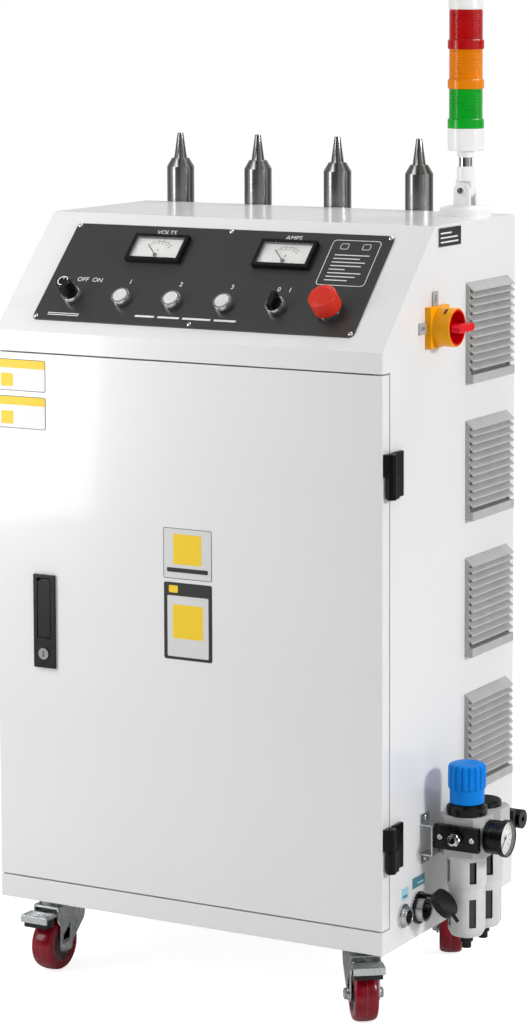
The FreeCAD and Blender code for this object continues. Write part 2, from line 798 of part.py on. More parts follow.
# Two meters: case, dial, needle and window
cases = []
dials = []
windows = []
for k in range(2):
    tag = str(k + 1)
    frame = middle("meter_frame_" + tag, "meter_w", "meter_l", "meter_h")
    back = middle(
        "meter_back_" + tag,
        "meter_back_w",
        "meter_back_l",
        "meter_back_h + meter_floor",
        z="-meter_back_h",
    )
    recess = middle(
        "meter_recess_" + tag,
        "meter_w - 2 * meter_rim",
        "meter_l - 2 * meter_rim",
        "meter_h",
        z="meter_floor",
    )
    shaft_hole = rod(
        "meter_shaft_hole_" + tag,
        "pivot_r + pivot_play",
        "meter_back_h / 2",
        y="-needle_low",
        z="meter_floor - meter_back_h / 4",
    )
    case = cut("meter_case_" + tag, join("meter_solid_" + tag, frame, back), recess, shaft_hole)
    cases.append(on_slope(case, METERS[k], "meter_up", "plate_t"))
    face = middle("meter_face_" + tag, "meter_w - 2 * meter_rim", "meter_l - 2 * meter_rim", "dial_t")
    face_hole = rod(
        "meter_face_hole_" + tag,
        "pivot_r + pivot_play",
        "3 * dial_t",
        y="-needle_low",
        z="-dial_t",
    )
    dial = cut("meter_dial_" + tag, face, face_hole)
    dials.append(on_slope(dial, METERS[k], "meter_up", "plate_t + meter_floor"))
    glass = middle("meter_glass_" + tag, "meter_w - 2 * meter_rim", "meter_l - 2 * meter_rim", "window_t")
    window = together("meter_window_" + tag, glass)
    out = "plate_t + meter_h - window_sink - window_t"
    windows.append(on_slope(window, METERS[k], "meter_up", out))
    bar = block(
        "needle_bar_" + tag,
        "needle_w",
        "needle_l",
        "needle_t",
        "-needle_w / 2",
        "0",
        "dial_t + needle_up",
    )
    hub = rod("needle_hub_" + tag, "3 * pivot_r", "needle_t", z="dial_t + needle_up")
    shaft = rod("needle_shaft_" + tag, "pivot_r", "dial_t + needle_up + 3 * needle_t", z="-2 * needle_t")
    needle = join("needle_" + tag, bar, hub, shaft)
    tilted = together("needle_tilt_" + tag, turn(needle, (0, 0, 1), "needle_rest"))
    placed = on_slope(
        tilted,
        METERS[k],
        "meter_up - needle_low",
        "plate_t + meter_floor",
    )
    name = ("voltmeter_needle", "ammeter_needle")[k]
    node(name, ("Voltmeter needle", "Ammeter needle")[k], placed)
node("meter_cases", "Meter cases", together("meter_cases", *cases))

# Switch rings along the control row, the last one for the emergency stop
rings = []
blocks = []
for k in range(6):
    tag = str(k + 1)
    if k < 5:
        points = [
            ("bezel_bore", "-barrel_l"),
            ("barrel_r", "-barrel_l"),
            ("barrel_r", "0"),
            ("bezel_r", "0"),
            ("bezel_r", "bezel_h * 0.45"),
            ("bezel_top_r", "bezel_h"),
            ("bezel_bore", "bezel_h"),
        ]
    else:
        points = [
            ("bezel_bore", "-barrel_l"),
            ("barrel_r", "-barrel_l"),
            ("barrel_r", "0"),
            ("bezel_r + 1", "0"),
            ("bezel_r", "estop_ring_h"),
            ("bezel_bore", "estop_ring_h"),
        ]
    ring = turned("ring_" + tag, points)
    rings.append(on_slope(ring, CONTROLS[k], "control_up", "plate_t"))
    body = middle(
        "block_body_" + tag,
        "block_w",
        "block_w",
        "block_h",
        z="-plate_t - sheet_t - block_h",
    )
    seat = rod("block_seat_" + tag, "barrel_r", "block_h", z="-barrel_l")
    well = rod("block_well_" + tag, "stem_r + 2", "block_h", z="-barrel_l - block_h * 0.4")
    contact = cut("block_" + tag, body, seat, well)
    blocks.append(on_slope(contact, CONTROLS[k], "control_up", "plate_t"))
node("switch_rings", "Switch rings", together("switch_rings", *rings))

for k in range(3):
    tag = str(k + 1)
    points = [
        ("0", "-stem_low"),
        ("stem_r", "-stem_low"),
        ("stem_r", "-2"),
        ("cap_r", "-2"),
        ("cap_r", "bezel_h + cap_up / 3"),
        ("cap_r - 1.5", "bezel_h + cap_up"),
        ("0", "bezel_h + cap_up"),
    ]
    button = turned("button_" + tag, points)
    on_slope(button, CONTROLS[k + 1], "control_up", "plate_t")
    node("push_button_" + tag, "Push button " + tag, button)

knob = turned(
    "knob",
    [
        ("0", "-stem_low"),
        ("stem_r", "-stem_low"),
        ("stem_r", "-2"),
        ("cap_r", "-2"),
        ("cap_r", "bezel_h + cap_play"),
        ("knob_r", "bezel_h + cap_play"),
        ("knob_r", "bezel_h + knob_h - 1"),
        ("knob_r - 1", "bezel_h + knob_h"),
        ("0", "bezel_h + knob_h"),
    ],
)
node("power_knob", "Power knob", on_slope(knob, CONTROLS[0], "control_up", "plate_t"))

selector_base = turned(
    "selector_base",
    [
        ("0", "-stem_low"),
        ("stem_r", "-stem_low"),
        ("stem_r", "-2"),
        ("cap_r", "-2"),
        ("cap_r", "bezel_h + cap_up"),
        ("0", "bezel_h + cap_up"),
    ],
)
selector_bar = middle("selector_bar", "bar_w", "bar_l", "bar_h", z="bezel_h + cap_up - 1")
selector = join("selector", selector_base, selector_bar)
node("selector_knob", "Selector knob", on_slope(selector, CONTROLS[4], "control_up", "plate_t"))

estop = turned(
    "estop",
    [
        ("0", "-stem_low"),
        ("stem_r", "-stem_low"),
        ("stem_r", "-2"),
        ("cap_r", "-2"),
        ("cap_r", "estop_low"),
        ("estop_skirt_in", "estop_low"),
        ("estop_skirt_in", "estop_skirt"),
        ("estop_r", "estop_skirt"),
        ("estop_r", "estop_top - 6"),
        ("estop_r - 4", "estop_top - 1.5"),
        ("estop_r - 9", "estop_top"),
        ("0", "estop_top"),
    ],
)
node("estop_button", "Emergency stop head", on_slope(estop, CONTROLS[5], "control_up", "plate_t"))

# Isolator: yellow plate with its ring, red dish with a grip bar
iso_plate = middle("iso_plate", "iso_w", "iso_w", "iso_t")
iso_ring = rod("iso_ring", "iso_ring_r", "iso_ring_h", z="iso_t")
iso_bore = rod("iso_bore", "iso_ring_r - iso_ring_t", "iso_ring_h + 1", z="iso_t")
iso_axle = rod("iso_axle", "iso_shaft_r + iso_shaft_play", "4 * iso_t", z="-iso_t")
tab_up = middle("tab_up", "tab_w", "tab_l", "tab_t", y="iso_w / 2 + tab_l / 2")
tab_side = middle("tab_side", "tab_l", "tab_w", "tab_t", x="-iso_w / 2 - tab_l / 2")
iso_solid = join("iso_solid", iso_plate, iso_ring, tab_up, tab_side)
iso_base = cut("iso_base", iso_solid, iso_bore, iso_axle)
node("isolator_plate", "Isolator plate and ring", on_side(iso_base, "iso_y", "iso_z"))
dish_r = "iso_ring_r - iso_ring_t - iso_dish_play"
dish_z = "iso_t + iso_ring_h - iso_sink - iso_dish_t"
iso_dish = rod("iso_dish", dish_r, "iso_dish_t", z=dish_z)
iso_grip_z = dish_z + " + iso_dish_t - 1"
iso_grip = middle("iso_grip", "iso_grip_l - 8", "iso_grip_w", "iso_grip_h + 1", z=iso_grip_z)
iso_cap = middle(
    "iso_cap",
    "iso_grip_l",
    "iso_grip_w",
    "iso_grip_h - 5",
    z=dish_z + " + iso_dish_t + 5",
)
iso_shaft = rod("iso_shaft", "iso_shaft_r", dish_z + " + iso_shaft_l + 1", z="-iso_shaft_l")
iso_turn = join("iso_turn", iso_dish, iso_grip, iso_cap, iso_shaft)
node("isolator_handle", "Isolator handle", on_side(iso_turn, "iso_y", "iso_z"))
iso_box = middle("iso_box", "iso_block_w", "iso_block_w", "iso_block_h", z="-sheet_t - iso_block_h")
iso_well = rod("iso_well", "iso_shaft_r + iso_shaft_play", "iso_block_h", z="-sheet_t - iso_block_h * 0.6")
iso_block = cut("iso_block", iso_box, iso_well)
blocks.append(on_side(iso_block, "iso_y", "iso_z"))
node("contact_blocks", "Contact blocks", together("contact_blocks", *blocks))

# Louvre grilles: shallow side walls, a hood, a lip and a ladder of falling
# slats whose tips stand out past the side walls
grilles = []
for k in range(4):
    tag = str(k + 1)
    grille = doc.addObject("PartDesign::Body", "grille_" + tag)
    wall_high = "vent_h / 2 - hood_drop * vent_side / vent_t"
    frame = outline(
        grille,
        "grille_frame_" + tag,
        "YZ_Plane",
        [
            ("-vent_h / 2", "0"),
            ("-vent_h / 2", "vent_t"),
            ("-vent_h / 2 + lip_h", "vent_t"),
            ("-vent_h / 2 + lip_h", "vent_side"),
            (wall_high, "vent_side"),
            ("vent_h / 2", "0"),
        ],
    )
    frame_pad = grille.newObject("PartDesign::Pad", "grille_pad_" + tag)
    frame_pad.Profile = frame
    frame_pad.setExpression("Length", ex("vent_w"))
    frame_pad.Midplane = True
    grille.Tip = frame_pad
    mouth = outline(
        grille,
        "grille_mouth_" + tag,
        "XY_Plane",
        [
            ("-vent_w / 2 + vent_rim", "-vent_h / 2 + lip_h"),
            ("vent_w / 2 - vent_rim", "-vent_h / 2 + lip_h"),
            ("vent_w / 2 - vent_rim", "vent_h / 2 - vent_rim"),
            ("-vent_w / 2 + vent_rim", "vent_h / 2 - vent_rim"),
        ],
    )
    opening = grille.newObject("PartDesign::Pocket", "grille_pocket_" + tag)
    opening.Profile = mouth
    opening.Type = 1
    opening.Midplane = True
    grille.Tip = opening
    slat_foot = "-vent_h / 2 + lip_h + slat_low"
    slat = outline(
        grille,
        "grille_slat_" + tag,
        "YZ_Plane",
        [
            (slat_foot, "vent_t"),
            (slat_foot + " + slat_t", "vent_t"),
            (slat_foot + " + slat_t + slat_drop", "slat_back"),
            (slat_foot + " + slat_drop", "slat_back"),
        ],
    )
    slat_pad = grille.newObject("PartDesign::Pad", "grille_slat_pad_" + tag)
    slat_pad.Profile = slat
    slat_pad.setExpression("Length", ex("vent_w"))
    slat_pad.Midplane = True
    grille.Tip = slat_pad
    ladder = grille.newObject("PartDesign::LinearPattern", "grille_ladder_" + tag)
    ladder.Originals = [slat_pad]
    ladder.Direction = (origin_plane(grille, "Y_Axis"), [""])
    ladder_l = "(vent_h - lip_h - slat_low - hood_drop) * (slat_n - 1) / slat_n"
    ladder.setExpression("Length", ex(ladder_l))
    ladder.setExpression("Occurrences", ex("slat_n"))
    grille.Tip = ladder
    hood = outline(
        grille,
        "grille_hood_" + tag,
        "YZ_Plane",
        [
            ("vent_h / 2", "0"),
            ("vent_h / 2 - hood_drop", "vent_t"),
            ("vent_h / 2 - hood_drop - slat_t", "vent_t"),
            ("vent_h / 2 - vent_rim", "0"),
        ],
    )
    hood_pad = grille.newObject("PartDesign::Pad", "grille_hood_pad_" + tag)
    hood_pad.Profile = hood
    hood_pad.setExpression("Length", ex("vent_w"))
    hood_pad.Midplane = True
    grille.Tip = hood_pad
    for sketch in (frame, mouth, slat, hood):
        sketch.Visibility = False
    grilles.append(on_side(grille, "vent_y", VENTS[k]))
node("louvre_grilles", "Louvre grilles", together("grilles", *grilles))

# Air unit: two bodies side by side, each with its bowl and guard
bodies = []
guards = []
bowls = []
drains = []
for k in range(2):
    tag = str(k + 1)
    shift = "%d * air_pitch" % k
    corner = [
        ("-unit_side", "-air_pitch / 2 + air_corner"),
        ("-unit_side + air_corner", "-air_pitch / 2"),
        ("unit_side - air_corner", "-air_pitch / 2"),
        ("unit_side", "-air_pitch / 2 + air_corner"),
        ("unit_side", "air_pitch / 2 - air_corner"),
        ("unit_side - air_corner", "air_pitch / 2"),
        ("-unit_side + air_corner", "air_pitch / 2"),
        ("-unit_side", "air_pitch / 2 - air_corner"),
    ]
    core = extruded("air_core_" + tag, "XY_Plane", corner, "air_h")
    port_y = "-air_pitch / 2 - 1" if k == 0 else "air_pitch / 2 - port_l"
    port = rod("air_port_" + tag, "port_r", "port_l + 1", "0", port_y, "0", along="y")
    well = rod("air_well_" + tag, "bowl_r - bowl_t", "air_h / 3", z="-air_top - 1")
    tools = [port, well]
    if k == 0:
        gauge_x = "unit_side - gauge_port_l"
        tools.append(rod("air_gauge_port", "gauge_port_r", "gauge_port_l + 1", gauge_x, along="x"))
        tools.append(rod("air_spring_well", "spigot_r + spigot_play", "air_h / 4", z="air_top - 8"))
    unit = cut("air_unit_" + tag, core, *tools)
    bodies.append(place(unit, "air_x", "air_y + " + shift, "caster_h + air_z"))
    guard_points = [
        ("guard_r - guard_t", "-air_top"),
        ("guard_r", "-air_top"),
        ("guard_r", "-air_top - guard_step"),
        ("guard_low_r", "-air_top - guard_step - 3"),
        ("guard_low_r", "-air_top - guard_l + 10"),
        ("guard_low_r - 4", "-air_top - guard_l + 3"),
        ("guard_end_r", "-air_top - guard_l"),
        ("drain_low_r", "-air_top - guard_l"),
        ("drain_low_r", "-air_top - guard_l + guard_t"),
        ("guard_end_r", "-air_top - guard_l + guard_t"),
        ("guard_low_r - 4 - guard_t", "-air_top - guard_l + 3 + guard_t"),
        ("guard_low_r - guard_t", "-air_top - guard_l + 10"),
        ("guard_low_r - guard_t", "-air_top - guard_step - 3"),
        ("guard_r - guard_t", "-air_top - guard_step"),
    ]
    sleeve = turned("guard_sleeve_" + tag, guard_points)
    slots = []
    for m, (low, tall) in enumerate((("slot_up_low", "slot_up_l"), ("slot_low_low", "slot_low_l"))):
        for side in (0, 1):
            name = "guard_slot_%s_%d_%d" % (tag, m + 1, side + 1)
            slot = middle(name, "slot_w", "4 * guard_r", tall, z="-(%s)" % low)
            turned_slot = together(name + "_turned", slot)
            turned_slot.Placement = FreeCAD.Placement(
                FreeCAD.Vector(), FreeCAD.Rotation(FreeCAD.Vector(0, 0, 1), 45 + 90 * side)
            )
            slots.append(turned_slot)
    guard = cut("guard_" + tag, sleeve, *slots)
    guards.append(place(guard, "air_x", "air_y + " + shift, "caster_h + air_z"))
    bowl_points = [
        ("bowl_r - bowl_t", "-air_top"),
        ("bowl_r", "-air_top"),
        ("bowl_r", "-air_top - bowl_l + 12"),
        ("guard_end_r - 1", "-air_top - bowl_l + 1"),
        ("bowl_hole_r", "-air_top - bowl_l + 1"),
        ("bowl_hole_r", "-air_top - bowl_l + 3"),
        ("guard_end_r - 3", "-air_top - bowl_l + 3"),
        ("bowl_r - bowl_t", "-air_top - bowl_l + 13"),
    ]
    bowl = turned("bowl_" + tag, bowl_points)
    bowls.append(place(bowl, "air_x", "air_y + " + shift, "caster_h + air_z"))
    drain_points = [
        ("0", "-air_top - guard_l - drain_l"),
        ("drain_low_r", "-air_top - guard_l - drain_l"),
        ("drain_low_r", "-air_top - guard_l - drain_collar_h"),
        ("drain_r", "-air_top - guard_l - drain_collar_h"),
        ("drain_r", "-air_top - guard_l"),
        ("bowl_hole_r", "-air_top - guard_l"),
        ("bowl_hole_r", "-air_top - bowl_l + 3"),
        ("0", "-air_top - bowl_l + 3"),
    ]
    drain = turned("drain_" + tag, drain_points)
    drains.append(place(drain, "air_x", "air_y + " + shift, "caster_h + air_z"))
node("air_bodies", "Air unit bodies", together("air_bodies", *bodies))
node("bowl_guards", "Bowl guards", together("bowl_guards", *guards))
node("bowls", "Bowls", together("bowls", *bowls))
node("bowl_drains", "Bowl drains", together("bowl_drains", *drains))

collar = turned(
    "collar",
    [
        ("spigot_r + spigot_play", "air_top"),
        ("cover_r", "air_top"),
        ("cover_r", "air_top + cover_h - cover_chamfer"),
        ("cover_r - cover_chamfer", "air_top + cover_h"),
        ("spigot_r + spigot_play", "air_top + cover_h"),
    ],
)
place(collar, "air_x", "air_y", "caster_h + air_z")
lid = turned(
    "lid",
    [
        ("0", "air_top"),
        ("cap_cover_r", "air_top"),
        ("cap_cover_r", "air_top + cap_cover_h - 2"),
        ("cap_cover_r - 2", "air_top + cap_cover_h"),
        ("0", "air_top + cap_cover_h"),
    ],
)
place(lid, "air_x", "air_y + air_pitch", "caster_h + air_z")
covers = together("air_covers", collar, lid)

knob_z = "air_top + cover_h + dial_knob_gap"
air_knob = turned(
    "air_knob",
    [
        ("0", knob_z + " - spigot_l"),
        ("spigot_r", knob_z + " - spigot_l"),
        ("spigot_r", knob_z),
        ("dial_knob_low_r", knob_z),
        ("dial_knob_low_r", knob_z + " + dial_knob_skirt - 2"),
        ("dial_knob_r", knob_z + " + dial_knob_skirt"),
        ("dial_knob_r", knob_z + " + dial_knob_h - dial_knob_dome"),
        ("dial_knob_r - dial_knob_dome", knob_z + " + dial_knob_h - 1"),
        ("dial_knob_r * 0.5", knob_z + " + dial_knob_h"),
        ("0", knob_z + " + dial_knob_h"),
    ],
)
node("regulator_knob", "Regulator knob", place(air_knob, "air_x", "air_y", "caster_h + air_z"))

# End plates, the inlet fitting and the outlet elbow
inlet_y = "-air_pitch / 2 - end_t"
outlet_y = "air_pitch * 1.5"
inlet_plate = cut(
    "inlet_plate",
    block("inlet_slab", "air_w", "end_t", "end_h", "-unit_side", inlet_y, "-end_h / 2"),
    rod("inlet_hole", "port_r", "3 * end_t", "0", inlet_y + " - end_t", "0", along="y"),
)
outlet_plate = cut(
    "outlet_plate",
    block("outlet_slab", "air_w", "end_t", "end_h", "-unit_side", outlet_y, "-end_h / 2"),
    rod("outlet_hole", "port_r", "3 * end_t", "0", outlet_y + " - end_t", "0", along="y"),
)
fit_y = inlet_y + " - fit_up"
inlet_fit = cut(
    "inlet_fit",
    join(
        "inlet_fit_solid",
        rod("inlet_flange", "fit_r", "fit_up", "0", fit_y, "0", along="y"),
        rod("inlet_body", "port_r", "fit_up + end_t + port_l * 0.8", "0", fit_y, "0", along="y"),
    ),
    rod("inlet_bore", "tube_r", "tube_l + 1", "0", fit_y + " - 1", "0", along="y"),
)
elbow_y = outlet_y + " + end_t + elbow_out"
elbow_fit = cut(
    "elbow_fit",
    join(
        "elbow_solid",
        rod(
            "elbow_leg",
            "port_r",
            "port_l * 0.8 + end_t + elbow_out",
            "0",
            outlet_y + " - port_l * 0.8",
            "0",
            along="y",
        ),
        rod("elbow_collar", "fit_r", "elbow_out", "0", outlet_y + " + end_t", "0", along="y"),
        rod("elbow_arm", "elbow_r", "elbow_reach + elbow_r", "-elbow_r", elbow_y, "0", along="x"),
    ),
    rod("elbow_bore", "tube_r", "tube_l + 1", "elbow_reach - tube_l", elbow_y, "0", along="x"),
)
ends = together("air_ends", inlet_plate, outlet_plate, inlet_fit, elbow_fit)
place(ends, "air_x", "air_y", "caster_h + air_z")
node("air_trim", "Air unit covers, end plates and fittings", together("air_trim", covers, ends))

bracket_points = [
    ("-air_out", "bracket_high"),
    ("-air_out + bracket_t", "bracket_high"),
    ("-air_out + bracket_t", "bracket_high - bracket_tab"),
    ("-unit_side", "bracket_high - bracket_tab"),
    ("-unit_side", "-bracket_low + bracket_tab"),
    ("-air_out + bracket_t", "-bracket_low + bracket_tab"),
    ("-air_out + bracket_t", "-bracket_low"),
    ("-air_out", "-bracket_low"),
    ("-air_out", "-bracket_low + bracket_tab + bracket_t"),
    ("-unit_side - bracket_t", "-bracket_low + bracket_tab + bracket_t"),
    ("-unit_side - bracket_t", "bracket_high - bracket_tab - bracket_t"),
    ("-air_out", "bracket_high - bracket_tab - bracket_t"),
]
brackets = []
for k, start in enumerate(("bracket_first", "bracket_second")):
    bent = extruded("bracket_%d" % (k + 1), "XZ_Plane", bracket_points, "bracket_w")
    shift = "air_y + %s + bracket_w / 2" % start
    brackets.append(place(bent, "air_x", shift, "caster_h + air_z"))
node("air_brackets", "Air unit brackets", together("air_brackets", *brackets))

# Pressure gauge that faces away from the cabinet
gauge_points = [
    ("pivot_r + pivot_play", "0"),
    ("gauge_port_r", "-gauge_port_l * 0.9"),
    ("gauge_port_r", "0"),
    ("gauge_back_r", "0"),
    ("gauge_r - 3", "gauge_l * 0.3"),
    ("gauge_r", "gauge_l * 0.6"),
    ("gauge_r", "gauge_l"),
    ("gauge_r - gauge_rim", "gauge_l"),
    ("gauge_r - gauge_rim", "gauge_l - gauge_deep"),
    ("pivot_r + pivot_play", "gauge_l - gauge_deep"),
]
gauge_points[0] = ("pivot_r + pivot_play", "-gauge_port_l * 0.9")
gauge = turned("gauge", gauge_points)
gauge_at = ("air_y", "air_z", "air_out + unit_side")
node("gauge_case", "Pressure gauge case", on_side(gauge, *gauge_at))
gauge_face = cut(
    "gauge_dial",
    rod("gauge_face", "gauge_r - gauge_rim", "dial_t"),
    rod("gauge_face_hole", "pivot_r + pivot_play", "3 * dial_t", z="-dial_t"),
)
dials.append(on_side(gauge_face, "air_y", "air_z", "air_out + unit_side + gauge_l - gauge_deep"))
gauge_glass = rod("gauge_glass", "gauge_r - gauge_rim", "window_t")
gauge_window = together("gauge_window", gauge_glass)
gauge_glass_out = "air_out + unit_side + gauge_l - window_sink - window_t"
windows.append(on_side(gauge_window, "air_y", "air_z", gauge_glass_out))
node("instrument_dials", "Instrument dials", together("dials", *dials))
node("instrument_windows", "Instrument windows", together("windows", *windows))
gauge_bar = block(
    "gauge_bar",
    "needle_w",
    "gauge_needle_l + 5",
    "needle_t",
    "-needle_w / 2",
    "-5",
    "dial_t + needle_up",
)
gauge_hub = rod("gauge_hub", "2.5 * pivot_r", "needle_t", z="dial_t + needle_up")
gauge_shaft = rod("gauge_shaft", "pivot_r", "dial_t + needle_up + 3 * needle_t", z="-2 * needle_t")
gauge_needle = join("gauge_needle", gauge_bar, gauge_hub, gauge_shaft)
gauge_tilt = together("gauge_tilt", turn(gauge_needle, (0, 0, 1), "gauge_rest"))
on_side(gauge_tilt, "air_y", "air_z", "air_out + unit_side + gauge_l - gauge_deep")
node("gauge_needle", "Pressure gauge needle", gauge_tilt)

# Two round sockets on the side
sockets = []
inserts = []
socket_sizes = (
    ("plug", "plug_flange_r", "plug_r", "plug_up", "plug_bore_r", "plug_y", 4),
    ("small", "small_flange_r", "small_r", "small_up", "small_bore_r", "small_y", 3),
)
for name, flange_r, shell_r, reach, bore_r, y, pins in socket_sizes:
    seat = "(%s) - plug_insert - 4" % reach
    shell_body = turned(
        name + "_shell",
        [
            (bore_r + " - 2", "-sheet_t - plug_tail"),
            (bore_r, "-sheet_t - plug_tail"),
            (bore_r, "0"),
            (flange_r, "0"),
            (flange_r, "plug_flange_t"),
            (shell_r + " + seat_step", "plug_flange_t"),
            (shell_r + " + seat_step", "plug_flange_t + loop_t"),
            (shell_r, "plug_flange_t + loop_t"),
            (shell_r, reach),
            (bore_r + " - 0.5", reach),
            (bore_r + " - 0.5", seat),
            (bore_r + " - 2", seat),
        ],
    )
    sockets.append(on_side(shell_body, y, "plug_z"))
    pieces = [rod(name + "_insert", bore_r + " - 0.5", "4", z=seat)]
    for k in range(pins):
        angle = 360 * k / pins + 45
        px = "(%s) * pin_ring * cos(%d)" % (bore_r, angle)
        py = "(%s) * pin_ring * sin(%d)" % (bore_r, angle)
        pieces.append(rod("%s_pin_%d" % (name, k + 1), "pin_r", "plug_insert", px, py, seat + " + 3"))
    insert = join(name + "_core", *pieces)
    inserts.append(on_side(insert, y, "plug_z"))
node("socket_shells", "Socket shells", together("socket_shells", *sockets))
node("socket_inserts", "Socket inserts", together("socket_inserts", *inserts))

# Rubber dust cap that hangs from the large socket by its strap
loop = cut(
    "loop",
    rod("loop_ring", "plug_r + loop_w", "loop_t", z="plug_flange_t"),
    rod("loop_hole", "plug_r + seat_step", "3 * loop_t", z="plug_flange_t - loop_t"),
)
strap = block(
    "strap",
    "strap_w",
    "loop_t",
    "strap_l",
    "dust_y / 2 - strap_w / 2",
    "plug_r + loop_w - loop_t",
    "plug_flange_t",
)
cup = cut(
    "cup",
    join(
        "cup_solid",
        rod("cup_disc", "dust_r", "dust_h", z="-dust_h / 2"),
        middle("cup_tab", "strap_w", "dust_r", "loop_t", y="-dust_r", z="0"),
    ),
    rod("cup_hollow", "dust_r - dust_t", "dust_h", z="-dust_h / 2 - dust_t"),
)
turn(cup, (-1, 0, 0), "dust_tilt")
place(cup, "dust_y", "dust_up", "dust_out")
cap_join = join("cap_join", loop, strap, cup)
node("dust_cap", "Dust cap on its strap", on_side(cap_join, "plug_y", "plug_z"))

# Rack behind the cabinet and the four guns that stand in it
rack_x = "gun_first - rack_end"
rack_w = "3 * gun_pitch + 2 * rack_end"
rack_y = "half_d + rear_t"
rack_low = "top_z - gun_below - rack_shelf_t"
rack_solid = join(
    "rack_solid",
    block("rack_back", rack_w, "rack_t", "gun_below - 8", rack_x, rack_y, rack_low),
    block("rack_low", rack_w, "rack_shelf_l", "rack_shelf_t", rack_x, rack_y, rack_low),
    block("rack_high", rack_w, "rack_shelf_l", "rack_shelf_t", rack_x, rack_y, "top_z - rack_top"),
)
rack_tools = []
for k in range(4):
    tag = str(k + 1)
    z_high = "top_z - rack_top - rack_shelf_t"
    rack_tools.append(
        rod("rack_ring_" + tag, "gun_r + gun_play", "4 * rack_shelf_t", GUNS[k], "gun_y", z_high)
    )
    rack_tools.append(
        rod(
            "rack_hole_" + tag,
            "gland_r + gun_play",
            "4 * rack_shelf_t",
            GUNS[k],
            "gun_y",
            rack_low + " - rack_shelf_t",
        )
    )
node("gun_rack", "Gun rack", cut("rack", rack_solid, *rack_tools))

neck_z = "gun_above + gun_neck_h"
for k in range(4):
    tag = str(k + 1)
    gun = turned(
        "gun_body_" + tag,
        [
            ("0", "-gun_below - gland_l"),
            ("gland_r", "-gun_below - gland_l"),
            ("gland_r", "-gun_below"),
            ("gun_r", "-gun_below"),
            ("gun_r", "gun_above"),
            ("gun_neck_r", neck_z),
            ("nozzle_r", neck_z),
            ("nozzle_tip_r", neck_z + " + nozzle_l"),
            ("nozzle_bore_r", neck_z + " + nozzle_l"),
            ("nozzle_bore_r", neck_z + " + nozzle_l - nozzle_bore_l"),
            ("0", neck_z + " + nozzle_l - nozzle_bore_l - 1"),
        ],
    )
    node("gun_" + tag, "Plasma gun " + tag, place(gun, GUNS[k], "gun_y", "top_z"))

# Signal tower: foot with clevis, folding stem, three lenses and a cap
foot_disc = rod("foot_disc", "foot_r", "foot_h")
ears = []
for side, start in enumerate(("-ear_in - ear_t", "ear_in")):
    tag = str(side + 1)
    post_h = "tower_pivot_z - foot_h + 1"
    post = block("ear_post_" + tag, "ear_w", "ear_t", post_h, "-ear_w / 2", start, "foot_h - 1")
    head = rod("ear_head_" + tag, "ear_w / 2", "ear_t", "0", start, "tower_pivot_z", along="y")
    ears += [post, head]
foot_hole = rod("foot_hole", "pole_r - 2", "3 * foot_h", z="-foot_h")
bolt_hole = rod("bolt_hole", "bolt_r", "4 * ear_in", "0", "-2 * ear_in", "tower_pivot_z", along="y")
foot = cut("foot", join("foot_solid", foot_disc, *ears), foot_hole, bolt_hole)
bolt_l = "2 * ear_in + 2 * ear_t"
bolt_y = "-ear_in - ear_t"
bolt = join(
    "bolt",
    rod("bolt_shank", "bolt_r", bolt_l, "0", bolt_y, "tower_pivot_z", along="y"),
    rod(
        "bolt_head",
        "bolt_head_r",
        "bolt_head_h",
        "0",
        bolt_y + " - bolt_head_h",
        "tower_pivot_z",
        along="y",
    ),
    rod("bolt_nut", "bolt_head_r", "bolt_head_h", "0", "ear_in + ear_t", "tower_pivot_z", along="y"),
)
foot_all = together("tower_foot", foot, bolt)
node("tower_foot", "Tower foot and pivot bolt", place(foot_all, "tower_x", "tower_y", "top_z"))

tongue_head = rod("tongue_head", "ear_w / 2", "2 * tongue", "0", "-tongue", "0", along="y")
tongue_post = block(
    "tongue_post",
    "ear_w",
    "2 * tongue",
    "arm_low - tower_pivot_z + 2",
    "-ear_w / 2",
    "-tongue",
    "0",
)
stack = turned(
    "stack",
    [
        ("0", "arm_low - tower_pivot_z"),
        ("arm_r", "arm_low - tower_pivot_z"),
        ("arm_r", "arm_high - tower_pivot_z"),
        ("pole_r", "arm_high - tower_pivot_z"),
        ("pole_r", "pole_high - tower_pivot_z"),
        ("neck_r", "pole_high - tower_pivot_z"),
        ("neck_r", "neck_high - tower_pivot_z"),
        ("stack_r - 2", "neck_high - tower_pivot_z"),
        ("stack_r", "neck_high - tower_pivot_z + 2"),
        ("stack_r", "stack_low - tower_pivot_z"),
        ("led_r", "stack_low - tower_pivot_z"),
        ("led_r", "tower_end - tower_pivot_z + 3"),
        ("0", "tower_end - tower_pivot_z + 3"),
    ],
)
stem_hole = rod("stem_hole", "bolt_r + bolt_play", "4 * ear_in", "0", "-2 * ear_in", "0", along="y")
stem = cut("stem", join("stem_solid", tongue_head, tongue_post, stack), stem_hole)
node("tower_stem", "Tower stem and housing", place(stem, "tower_x", "tower_y", "top_z + tower_pivot_z"))

for k, colour in enumerate(("green", "amber", "red")):
    lens = turned(
        "lens_body_" + colour,
        [
            ("lens_r - lens_t", "0"),
            ("stack_r", "0"),
            ("stack_r", "lens_flange_h"),
            ("lens_r", "lens_flange_h"),
            ("lens_r", "lens_pitch"),
            ("lens_r - lens_t", "lens_pitch"),
        ],
    )
    low = "top_z + stack_low + %d * lens_pitch" % k
    node("lens_" + colour, colour.capitalize() + " lens", place(lens, "tower_x", "tower_y", low))
crown = turned(
    "tower_top",
    [
        ("0", "3 + led_play"),
        ("led_r + led_play", "3 + led_play"),
        ("led_r + led_play", "0"),
        ("tower_cap_r", "0"),
        ("tower_cap_r", "tower_cap_h - 5"),
        ("tower_cap_r - 3", "tower_cap_h - 1"),
        ("tower_cap_r - 7", "tower_cap_h"),
        ("0", "tower_cap_h"),
    ],
)
node("tower_cap", "Tower cap", place(crown, "tower_x", "tower_y", "top_z + tower_end"))

